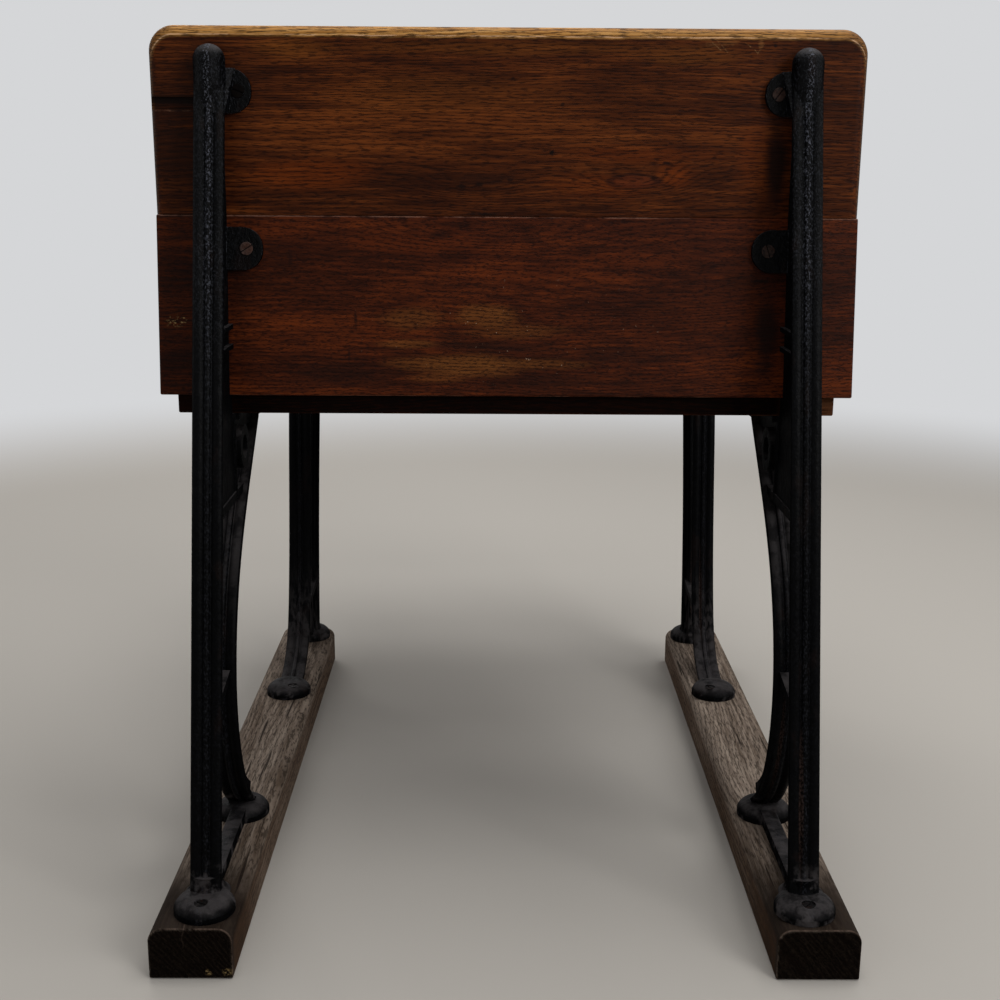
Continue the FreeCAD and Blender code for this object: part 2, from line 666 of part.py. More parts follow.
def lug_gusset():
    """Wedge from the rear leg's ridge out to the upper lug, at x = 0 towards +X. Its top is level
    with the lug's, and it dies into the flange's edge at the lug's foot."""
    back = size("back_y - snug_gap")
    radius = size("lug_radius")
    middle = upper_lug_seat().z
    ridge_half = size("flange_width") / 10
    low = leg_ridge_y(middle - radius)
    faces = []
    for z, reach, reach_y in ((middle - radius, size("flange_width / 2"), low + size("ridge_high")),
                              (middle + radius, 0.6 * size("lug_reach_upper"), back - size("lug_thick"))):
        ridge = leg_ridge_y(z) + size("ridge_high") / 4
        corners = [(0, ridge), (ridge_half, ridge), (reach, reach_y), (reach, back), (0, back)]
        places = [Vector(x, y, z) for x, y in corners]
        faces.append(Part.makePolygon(places + places[:1]))
    return Part.makeLoft(faces, True, True)


def upright_y(z):
    """Ridge of the upright, which is also the rear face of the backrest rails, at height z."""
    rise = size("back_top_z - back_foot_z")
    return size("back_foot_y") + size("back_lean") * (z - size("back_foot_z")) / rise


def rail_lean():
    return degrees(atan2(size("back_lean"), size("back_top_z - back_foot_z")))


def rail_middles():
    return [size("back_foot_z + lower_rail_high / 2"), size("back_top_z - upper_rail_high / 2")]


def bracket_underside():
    return size("seat_top_z - slat_thick - bracket_plate - bracket_rib")


def stop_y():
    return size("seat_head_y") + 3 * size("stop_radius")


def seat_standard():
    """Cast-iron standard under the seat, at x = 0 with its lugs and bosses towards +X."""
    web = size("seat_web_thick")
    width = size("seat_flange_width")
    deep = size("rib_deep")
    foot_z = size("runner_height + pad_high")
    buried = size("pad_rim")
    toe = size("seat_toe_y")
    heel = size("seat_heel_y")
    head_y = size("seat_head_y")
    pivot_y = size("pivot_y")
    pivot_z = size("pivot_z")
    gap = size("snug_gap")
    reach = head_y - toe
    rise = pivot_z - foot_z
    parts = [moulded_bar([
        (toe, foot_z - buried),
        (toe + 0.3 * reach, foot_z + 0.006 * rise),
        (toe + 0.55 * reach, foot_z + 0.075 * rise),
        (toe + 0.705 * reach, foot_z + 0.208 * rise),
        (head_y, foot_z + 0.81 * rise),
        (head_y + 0.1 * reach, pivot_z),
    ], width, deep, web)]
    parts.append(moulded_bar([
        (pivot_y - 0.14 * reach, pivot_z),
        (pivot_y - 0.28 * reach, foot_z + 0.8 * rise),
        (heel, foot_z + 0.15 * rise),
        (heel - 0.04 * reach, foot_z - buried),
    ], width, deep, web))
    bar_z = size("seat_bar_z")
    bar_end = (heel, bar_z + size("seat_bar_rise"))
    parts.append(bar((toe + 0.7 * reach, bar_z), bar_end, size("bar_thick"), width - buried))
    # rail with its flange between the tops of the legs
    half_deep = size("seat_rail_deep") / 2
    rail_end = pivot_y + size("seat_rail_tail")
    parts.append(plate([
        (head_y + 0.03 * reach, pivot_z - half_deep), (rail_end, pivot_z - half_deep),
        (rail_end + half_deep, pivot_z + half_deep), (head_y + 0.1 * reach, pivot_z + half_deep)], web))
    flange = size("arm_flange")
    parts.append(Part.makeBox(width, rail_end - head_y, flange,
                              Vector(-width / 2, head_y + 0.08 * reach, pivot_z + half_deep - flange)))
    # upright for the backrest
    low_z = size("back_foot_z") - size("lug_radius")
    top_z = size("back_top_z") - deep / 2
    parts.append(moulded_bar([
        (rail_end - half_deep, pivot_z - half_deep / 2),
        (rail_end + 0.2 * half_deep, pivot_z + 0.36 * (low_z - pivot_z)),
        (upright_y(low_z) + gap, low_z),
    ], width, deep, web, last=(upright_y(top_z) + gap, top_z)))
    top_round = deep / 2 * cos(radians(rail_lean()))
    parts.append(disc(upright_y(top_z) + gap + deep / 2, top_z, top_round, -web / 2, web / 2))
    parts.append(disc(pivot_y, pivot_z, size("pivot_boss"), -width / 2, size("pivot_inset")))
    parts.append(foot(toe, size("seat_pad_radius")))
    parts.append(foot(heel, size("seat_pad_radius"), heel - 0.2 * deep))
    # stop for the seat bracket
    stop_radius = size("stop_radius")
    stop_z = bracket_underside() - size("rest_gap") - stop_radius
    stop_end = size("pivot_inset + bracket_gap + bracket_width")
    parts.append(disc(stop_y(), stop_z, stop_radius, 0, stop_end))
    for z in rail_middles():
        tab = lug(size("lug_radius"), size("lug_reach_lower"), size("lug_thick"))
        tab.translate(Vector(0, size("lug_thick") + gap, 0))
        tab.rotate(Vector(), Vector(1, 0, 0), -rail_lean())
        tab.translate(Vector(0, upright_y(z), z))
        parts.append(tab)
    casting = parts[0].multiFuse(parts[1:])
    casting = casting.cut(disc(pivot_y, pivot_z, size("pivot_radius") + gap, -width, 2 * width))
    return casting.cut(timber_space()[-1]).removeSplitter()


def seat_bracket():
    """Iron arm under the slats, at the left standard's x = 0, towards +X."""
    start = size("pivot_inset + bracket_gap")
    rib = size("bar_thick")
    top = size("seat_top_z - slat_thick")
    under = bracket_underside()
    pivot_y = size("pivot_y")
    pivot_z = size("pivot_z")
    boss = size("pivot_boss") - 1
    inset = size("slat_width") / 4
    front = size("seat_front_y") + inset
    rear = size("seat_front_y + 4 * slat_width + 3 * slat_gap") - inset
    plate_thick = size("bracket_plate")
    arm = plate([
        (front, top - plate_thick), (front + 2 * inset, under), (pivot_y - 3 * boss, under),
        (pivot_y, pivot_z - 0.7 * boss), (rear - inset, under + 0.4 * plate_thick),
        (rear, top - plate_thick), (rear, top), (front, top)], rib, start + rib)
    shelf_corner = Vector(start, front, top - plate_thick)
    shelf = Part.makeBox(size("bracket_width"), rear - front, plate_thick, shelf_corner)
    hub = disc(pivot_y, pivot_z, boss, start, start + size("bracket_boss"))
    casting = arm.multiFuse([shelf, hub])
    bore = size("pivot_radius + running_gap")
    return casting.cut(disc(pivot_y, pivot_z, bore, 0, 4 * start)).removeSplitter()


def both_sides(label, shape, *holes):
    """Put a casting at the left standard's plane and its mirror image at the right one."""
    left = shape.copy()
    left.translate(Vector(-size("standard_spacing") / 2, 0, 0))
    right = left.mirror(Vector(), Vector(1, 0, 0))
    for side, solid in (("left", left), ("right", right)):
        thing = doc.addObject("Part::Feature", f"{label}_{side}")
        thing.Shape = solid.cut(list(holes))
        keep(f"{label}_{side}", thing)


def mirrored_seats(seats):
    """Screw seats given from the left standard's plane, and the same on the right."""
    plane_x = size("standard_spacing") / 2
    return [(Vector(side * (plane_x - point.x), point.y, point.z), direction, turn + 37 * side)
            for point, direction, turn in seats for side in (-1, 1)]


# ---------------------------------------------------------------- screws, by what they hold

down = Vector(0, 0, -1)
up = Vector(0, 0, 1)
rearward = Vector(0, -1, 0)
lug_out = size("lug_thick + screw_proud")
lean = radians(board_lean())
lower_out = Vector(0, -cos(lean), sin(lean))
foot_top = size("runner_height + pad_high") - size("screw_proud")
foot_pitch = size("pad_radius") / 2
runner_holes = screws("runner_screws", "runner_screw", mirrored_seats([
    (Vector(0, size("rear_foot_y") - foot_pitch, foot_top), up, 10),
    (Vector(0, size("fore_foot_y") + foot_pitch, foot_top), up, 60),
    (Vector(foot_pitch / 2, size("seat_toe_y") - foot_pitch, foot_top), up, 80),
    (Vector(0, size("seat_heel_y") + 1.25 * foot_pitch, foot_top), up, 20),
]))
lug_holes = screws("lug_screws", "lug_screw", mirrored_seats([
    (upper_lug_seat() + rearward * lug_out, rearward, 15),
    (lower_lug_seat() + lower_out * lug_out, lower_out, 70),
]))
shelf_seat_z = size("lower_board_z - shelf_thick") - size("lug_thick")
shelf_holes = screws("shelf_screws", "under_screw", mirrored_seats([
    (Vector(small_lug_x(), y, shelf_seat_z), down, 25) for y in shelf_lug_places()
]))
box_holes = screws("box_screws", "under_screw", mirrored_seats([
    (Vector(small_lug_x(), y, size("box_z - lug_thick")), down, 50) for y in box_lug_places()
]))
rail_out = Vector(0, cos(radians(rail_lean())), -sin(radians(rail_lean())))
rail_screw_x = size("lug_reach_lower - lower_screw_inset")
rail_holes = screws("backrest_screws", "rail_screw", mirrored_seats([
    (Vector(rail_screw_x, upright_y(z), z) + rail_out * size("lug_thick"), rail_out, 35)
    for z in rail_middles()
]))
slat_pitch = size("slat_width + slat_gap")
slat_places = [size("seat_front_y + slat_width / 2") + i * slat_pitch for i in range(4)]
bracket_x = size("pivot_inset + bracket_gap + 0.8 * bracket_width")
seat_holes = screws("seat_screws", "seat_screw", mirrored_seats([
    (Vector(bracket_x, y, size("seat_top_z - slat_thick - bracket_plate")), down, 15 * i)
    for i, y in enumerate(slat_places)
]))

lid_angle = atan2(size("lid_fall"), size("lid_depth"))
lid_up = Vector(0, sin(lid_angle), cos(lid_angle))
lid_rear = size("back_y + board_thick + ledge_depth + lid_gap")
hinge_y = lid_rear - size("lid_gap") / 2
hinge_z = size("ledge_z + knuckle_radius")
leaf_screw_y = size("hinge_leaf") * 0.62
hinge_screw_x = [side * size("hinge_spacing") / 2 + share * size("hinge_length")
                 for side in (-1, 1) for share in (-0.34, 0, 0.34)]


def on_lid(x, along, above):
    """Point above the lid's top face, measured down its slope from its rear edge."""
    start = Vector(x, lid_rear, size("ledge_z"))
    return start + Vector(0, cos(lid_angle), -sin(lid_angle)) * along + lid_up * above


ledge_hinge_holes = screws("hinge_screws_ledge", "hinge_screw", [
    (Vector(x, hinge_y - leaf_screw_y, size("ledge_z + hinge_thick")), up, 31 * i)
    for i, x in enumerate(hinge_screw_x)
])
lid_hinge_holes = screws("hinge_screws_lid", "hinge_screw", [
    (on_lid(x, leaf_screw_y, size("hinge_thick")), lid_up, 47 * i) for i, x in enumerate(hinge_screw_x)
])
cleat_under = -size("lid_thick + cleat_thick") * cos(lid_angle)
cleat_screw_places = [(size("cleat_inset") + share * size("cleat_length")) / cos(lid_angle)
                      for share in (0.1, 0.37, 0.63, 0.9)]
cleat_holes = screws("cleat_screws", "cleat_screw", [
    (on_lid(side * size("cleat_spacing") / 2, along, cleat_under), lid_up * -1, 20)
    for side in (-1, 1) for along in cleat_screw_places
])

# ---------------------------------------------------------------- runners

half_width = "runner_width / 2"
for side, label in ((-1, "runner_left"), (1, "runner_right")):
    body = doc.addObject("PartDesign::Body", label + "_body")
    sketch = outline(body, "XY_Plane", [
        (f"{side} * runner_spacing / 2 - {half_width}", "0"),
        (f"{side} * runner_spacing / 2 + {half_width}", "0"),
        (f"{side} * runner_spacing / 2 + {half_width}", "runner_length"),
        (f"{side} * runner_spacing / 2 - {half_width}", "runner_length")])
    pad_feature = body.newObject("PartDesign::Pad", "pad")
    pad_feature.Profile = sketch
    pad_feature.setExpression("Length", "dim.runner_height")
    doc.recompute()
    height = size("runner_height")
    round_edges(body, "runner_round", lambda edge: edge.BoundBox.ZMin > height / 2
                and edge.BoundBox.YLength > height)
    round_edges(body, "runner_ease", lambda edge: edge.BoundBox.ZMax < height / 2
                or edge.BoundBox.YLength < 0.1)
    drilled(label, body, runner_holes)

# ---------------------------------------------------------------- back boards and shelf

upper = doc.addObject("PartDesign::Body", "back_board_upper_body")
pad(upper, outline(upper, "YZ_Plane", [
    ("back_y", "seam_z"), ("back_y + board_thick", "seam_z"),
    ("back_y + board_thick", "desk_height"), ("back_y", "desk_height")]), "board_width")
top_z = size("desk_height")
across = size("board_thick")
round_edges(upper, "corner_radius", lambda edge: edge.BoundBox.ZMin > top_z - 1
            and edge.BoundBox.YLength > across - 1)
round_edges(upper, "top_round", lambda edge: edge.BoundBox.ZMax > top_z - size("corner_radius")
            and edge.BoundBox.YLength < 0.1 and edge.BoundBox.ZMin > size("seam_z") + 1)
groove = upper.newObject("PartDesign::Pocket", "groove")
groove_middle = "groove_length / 2 - board_width / 2"
groove.Profile = outline(upper, "YZ_Plane", [
    ("back_y - 1", "desk_height - groove_drop"),
    ("back_y + groove_deep", "desk_height - groove_drop"),
    ("back_y + groove_deep", "desk_height - groove_drop - groove_high"),
    ("back_y - 1", "desk_height - groove_drop - groove_high")])
groove.Profile[0].setExpression("AttachmentOffset.Base.z", dim(groove_middle))
groove.SideType = "Symmetric"
groove.setExpression("Length", "dim.groove_length + 2")
doc.recompute()
drilled("back_board_upper", upper, lug_holes)

lower = board("back_board_lower_body", [
    ("back_y", "seam_z"), ("back_y + board_thick", "seam_z"),
    ("back_y + board_thick - lower_lean", "lower_board_z"),
    ("back_y - lower_lean", "lower_board_z")], "lower_board_width")
drilled("back_board_lower", lower, lug_holes)

shelf_start = "back_y - lower_lean + shelf_inset"
shelf = board("book_shelf_body", [
    (shelf_start, "lower_board_z"), (shelf_start + " + shelf_depth", "lower_board_z"),
    (shelf_start + " + shelf_depth", "lower_board_z - shelf_thick"),
    (shelf_start, "lower_board_z - shelf_thick")], "shelf_width")
drilled("book_shelf", shelf, shelf_holes)

# ---------------------------------------------------------------- desk box

inner_back = "back_y + board_thick"
board_slope = "lower_lean / (seam_z - lower_board_z)"
box_back_low = inner_back + f" - {board_slope} * (seam_z - box_z)"
floor_back_top = inner_back + f" - {board_slope} * (seam_z - box_z - floor_thick)"
ledge_front = inner_back + " + ledge_depth"
lid_start = ledge_front + " + lid_gap"
under_ledge = "ledge_z - ledge_thick"
lid_drop = "lid_fall / lid_depth"
box_front_y = inner_back + " + box_depth"


def rim_z(y_expression):
    """Height of the box's sloping rim: the lid's underside less the resting gap."""
    fall = f"({y_expression} - ({lid_start})) * {lid_drop}"
    return f"ledge_z - lid_thick - rest_gap - {fall}"


for side, label in ((-1, "box_side_left"), (1, "box_side_right")):
    panel = board(label, [
        (box_back_low, "box_z"), (box_front_y + " - side_thick", "box_z"),
        (box_front_y + " - side_thick", rim_z(box_front_y + " - side_thick")),
        (lid_start, rim_z(lid_start)), (lid_start, under_ledge), (inner_back, under_ledge),
        (inner_back, "seam_z")], "side_thick", f"{side} * (box_width - side_thick) / 2", ease=None)
    keep(label, panel)
front = board("box_front", [
    (box_front_y + " - side_thick", "box_z"), (box_front_y, "box_z"),
    (box_front_y, rim_z(box_front_y)), (box_front_y + " - side_thick", rim_z(box_front_y + " - side_thick")),
], "box_width")
keep("box_front", front)
floor = board("box_floor_body", [
    (box_back_low, "box_z"), (box_front_y + " - side_thick", "box_z"),
    (box_front_y + " - side_thick", "box_z + floor_thick"), (floor_back_top, "box_z + floor_thick")],
    "box_width - 2 * side_thick", ease=None)
drilled("box_floor", floor, box_holes)

ledge = board("pen_ledge_body", [
    (inner_back, under_ledge), (ledge_front, under_ledge), (ledge_front, "ledge_z"),
    (inner_back, "ledge_z")], "board_width")
ledge_edge = size(ledge_front)
ledge_top = size("ledge_z")
pen_half = size("pen_groove_length") / 2
pen_radius = size("pen_groove_radius")
pen_place = Vector(-pen_half, ledge_edge - size("pen_groove_inset"), ledge_top)
pen_groove = Part.makeCylinder(pen_radius, 2 * pen_half, pen_place, Vector(1, 0, 0))
for end in (-pen_half, pen_half):
    pen_groove = pen_groove.fuse(Part.makeSphere(pen_radius, Vector(end, pen_place.y, pen_place.z)))
ink_place = Vector(-size("inkwell_x"), ledge_edge - size("inkwell_inset"), ledge_top)
ink_radius = size("inkwell_radius")
ink_rim = size("inkwell_rim")
ink_deep = size("inkwell_deep")
ink_lip = size("inkwell_lip")
ink_play = size("inkwell_play")
ink_seat = ink_lip + size("rest_gap")
ink_hole = Part.makeCylinder(ink_radius + ink_play, 2 * ink_deep, ink_place - Vector(0, 0, ink_deep))
ink_rebate = Part.makeCylinder(ink_rim + ink_play, ink_deep, ink_place - Vector(0, 0, ink_seat))
ledge_cutters = Part.makeCompound([pen_groove, ink_hole.fuse(ink_rebate)])
drilled("pen_ledge", ledge, ledge_cutters, ledge_hinge_holes)

ink_wall = size("inkwell_wall")
ink_body = Part.makeCylinder(ink_radius, ink_deep, ink_place - Vector(0, 0, ink_deep))
ink_flange = Part.makeCylinder(ink_rim, 2 * ink_lip, ink_place - Vector(0, 0, ink_lip))
ink_flange = ink_flange.makeFillet(0.6 * ink_lip, ink_flange.Edges)
ink_room = Part.makeCylinder(ink_radius - ink_wall, ink_deep - 2 * ink_wall,
                             ink_place - Vector(0, 0, ink_deep - ink_wall))
ink_mouth = Part.makeCone(size("inkwell_mouth"), size("inkwell_mouth") + ink_lip, ink_wall + 2 * ink_lip,
                          ink_place - Vector(0, 0, ink_wall + ink_lip / 2))
inkwell = doc.addObject("Part::Feature", "inkwell")
inkwell.Shape = ink_body.fuse(ink_flange).cut(ink_room.fuse(ink_mouth)).removeSplitter()
keep("inkwell", inkwell)

# ---------------------------------------------------------------- lid


def lid_top(y_expression):
    return f"ledge_z - ({y_expression} - ({lid_start})) * {lid_drop}"


lid_middle = lid_start + " + lid_depth / 2"
lid_end = lid_start + " + lid_depth"
for label, begin, end in (("lid_board_rear", lid_start, lid_middle),
                          ("lid_board_front", lid_middle, lid_end)):
    plank = board(label + "_body", [
        (begin, lid_top(begin)), (end, lid_top(end)),
        (end, lid_top(end) + " - lid_thick"), (begin, lid_top(begin) + " - lid_thick")], "board_width")
    drilled(label, plank, lid_hinge_holes, cleat_holes)

cleat_from = lid_start + " + cleat_inset"
cleat_to = cleat_from + " + cleat_length"
for side, label in ((-1, "lid_cleat_left"), (1, "lid_cleat_right")):
    batten = board(label + "_body", [
        (cleat_from, lid_top(cleat_from) + " - lid_thick"),
        (cleat_to, lid_top(cleat_to) + " - lid_thick"),
        (cleat_to, lid_top(cleat_to) + " - lid_thick - cleat_thick"),
        (cleat_from, lid_top(cleat_from) + " - lid_thick - cleat_thick")],
        "cleat_width", f"{side} * cleat_spacing / 2", ease=None)
    drilled(label, batten, cleat_holes)

# ---------------------------------------------------------------- hinges


def hinge_leaf(middle_x, on_the_lid):
    """Leaf of a butt hinge with every other one of its five knuckles."""
    length = size("hinge_length")
    thick = size("hinge_thick")
    wide = size("hinge_leaf")
    radius = size("knuckle_radius")
    play = size("knuckle_play")
    step = length / 5
    start = Vector(middle_x - length / 2, hinge_y, hinge_z)
    along = Vector(1, 0, 0)
    if on_the_lid:
        leaf = Part.makeBox(length, wide, thick)
        leaf.rotate(Vector(), along, -degrees(lid_angle))
        leaf.translate(Vector(start.x, lid_rear, size("ledge_z")))
        tongue = Part.makeBox(length, lid_rear - hinge_y + thick, thick,
                              Vector(start.x, hinge_y, size("ledge_z") + play))
        leaf = leaf.fuse(tongue)
    else:
        leaf = Part.makeBox(length, wide, thick, Vector(start.x, hinge_y - wide, size("ledge_z")))
    for i in range(5):
        place = start + along * (i * step)
        if (i % 2 == 1) == on_the_lid:
            leaf = leaf.fuse(Part.makeCylinder(radius, step, place, along))
        else:
            leaf = leaf.cut(Part.makeCylinder(radius + play, step + 2 * play, place - along * play, along))
    bore = size("hinge_pin_radius") + size("running_gap" if on_the_lid else "snug_gap")
    return leaf.cut(Part.makeCylinder(bore, length, start, along)).removeSplitter()


def pin(label, radius, length, x, y, z):
    """Round pin along X, from its left end's place."""
    piece = doc.addObject("Part::Cylinder", label)
    piece.setExpression("Radius", dim(radius))
    piece.setExpression("Height", dim(length))
    piece.Placement.Rotation = FreeCAD.Rotation(Vector(0, 1, 0), 90)
    piece.setExpression("Placement.Base.x", dim(x))
    piece.setExpression("Placement.Base.y", dim(y))
    piece.setExpression("Placement.Base.z", dim(z))
    return piece


def joined(label, *pieces):
    """One piece made of several primitives."""
    whole = doc.addObject("Part::MultiFuse", label)
    whole.Shapes = list(pieces)
    doc.recompute()
    return keep(label, whole)


for side, name in ((-1, "left"), (1, "right")):
    hinge_x = side * size("hinge_spacing") / 2
    for label, on_the_lid, holes in ((f"hinge_leaf_ledge_{name}", False, ledge_hinge_holes),
                                     (f"hinge_leaf_lid_{name}", True, lid_hinge_holes)):
        leaf = doc.addObject("Part::Feature", label)
        leaf.Shape = hinge_leaf(hinge_x, on_the_lid).cut(holes)
        keep(label, leaf)
    pin_start = f"{side} * hinge_spacing / 2 - hinge_length / 2"
    pin_y = ledge_front + " + lid_gap / 2"
    pin_z = "ledge_z + knuckle_radius"
    shaft = pin(f"hinge_shaft_{name}", "hinge_pin_radius", "hinge_length", pin_start, pin_y, pin_z)
    head = pin(f"hinge_pin_head_{name}", "0.8 * knuckle_radius", "knuckle_radius / 2",
               pin_start + " - knuckle_radius / 2", pin_y, pin_z)
    joined(f"hinge_pin_{name}", shaft, head)

# ---------------------------------------------------------------- seat

for i in range(4):
    begin = f"seat_front_y + {i} * (slat_width + slat_gap)"
    slat = board(f"seat_slat_{i + 1}_body", [
        (begin, "seat_top_z - slat_thick"), (begin + " + slat_width", "seat_top_z - slat_thick"),
        (begin + " + slat_width", "seat_top_z"), (begin, "seat_top_z")], "slat_length", ease="2 * board_ease")
    drilled(f"seat_slat_{i + 1}", slat, seat_holes)


def rail(label, low, high):
    """Backrest rail between two heights, leaning with the upright."""
    slope = "back_lean / (back_top_z - back_foot_z)"
    rear = "back_foot_y + ({} - back_foot_z) * " + slope
    piece = board(label + "_body", [
        (rear.format(f"({low})") + " - rail_thick", low), (rear.format(f"({low})"), low),
        (rear.format(f"({high})"), high), (rear.format(f"({high})") + " - rail_thick", high)],
        "rail_width", ease="2 * board_ease")
    drilled(label, piece, rail_holes)


rail("backrest_rail_lower", "back_foot_z", "back_foot_z + lower_rail_high")
rail("backrest_rail_upper", "back_top_z - upper_rail_high", "back_top_z")

boss_outside = "standard_spacing / 2 + seat_flange_width / 2"
boss_inside = "standard_spacing / 2 - pivot_inset - bracket_gap - bracket_boss"
for name, shaft_start, head_start in (
        ("left", f"-1 * ({boss_outside})", f"-1 * ({boss_outside}) - pivot_head_thick"),
        ("right", boss_inside, boss_outside)):
    shaft = pin(f"seat_pivot_shaft_{name}", "pivot_radius", f"{boss_outside} - ({boss_inside})",
                shaft_start, "pivot_y", "pivot_z")
    head = pin(f"seat_pivot_head_{name}", "pivot_head", "pivot_head_thick", head_start, "pivot_y", "pivot_z")
    joined(f"seat_pivot_{name}", shaft, head)

# ---------------------------------------------------------------- iron

both_sides("desk_standard", desk_standard(), runner_holes, lug_holes, shelf_holes, box_holes)
both_sides("seat_standard", seat_standard(), runner_holes, rail_holes)
both_sides("seat_bracket", seat_bracket(), seat_holes)

# The origin lies under the middle of the desk, between the runners' ends and the uprights.
depth = nodes["seat_standard_left"].Shape.BoundBox.YMax
sheet.set(sheet.getCellFromAlias("origin_y"), str(depth / 2))
doc.recompute()

# ---------------------------------------------------------------- check and write

for thing in doc.Objects:
    if "Invalid" in thing.State or "Error" in thing.State:
        raise RuntimeError(f"{thing.Label} failed: {thing.State}")
for label, thing in nodes.items():
    if thing.Shape.isNull() or not thing.Shape.isValid() or not thing.Shape.Solids:
        raise RuntimeError(f"{label} has no valid solid")

os.makedirs("parts", exist_ok=True)
for label, thing in nodes.items():
    thing.Shape.exportStep(f"parts/{label}.step")
print(len(nodes), "pieces")
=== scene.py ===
"""Looks of an old school desk: dark varnished oak on painted cast-iron standards."""

import math

import bpy
from mathutils import Matrix, Vector


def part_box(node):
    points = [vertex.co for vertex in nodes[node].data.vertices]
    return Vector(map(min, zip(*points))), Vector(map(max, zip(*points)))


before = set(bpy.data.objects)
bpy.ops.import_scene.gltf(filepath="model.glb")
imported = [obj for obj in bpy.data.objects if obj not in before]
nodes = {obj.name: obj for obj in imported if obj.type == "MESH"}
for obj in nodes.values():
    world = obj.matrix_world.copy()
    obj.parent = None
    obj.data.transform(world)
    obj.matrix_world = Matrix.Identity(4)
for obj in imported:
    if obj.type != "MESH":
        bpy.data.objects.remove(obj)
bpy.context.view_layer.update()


# ------------------------------------------------------------ node graphs


# specular level where a reader can't follow one that varies over the surface
PLAIN_LEVEL = 0.05


def linear(r, g, b):
    """Colour given as it shows on a screen, 0 to 255, turned into scene values."""
    out = []
    for value in (r, g, b):
        c = value / 255
        out.append(c / 12.92 if c <= 0.04045 else ((c + 0.055) / 1.055) ** 2.4)
    return (*out, 1.0)


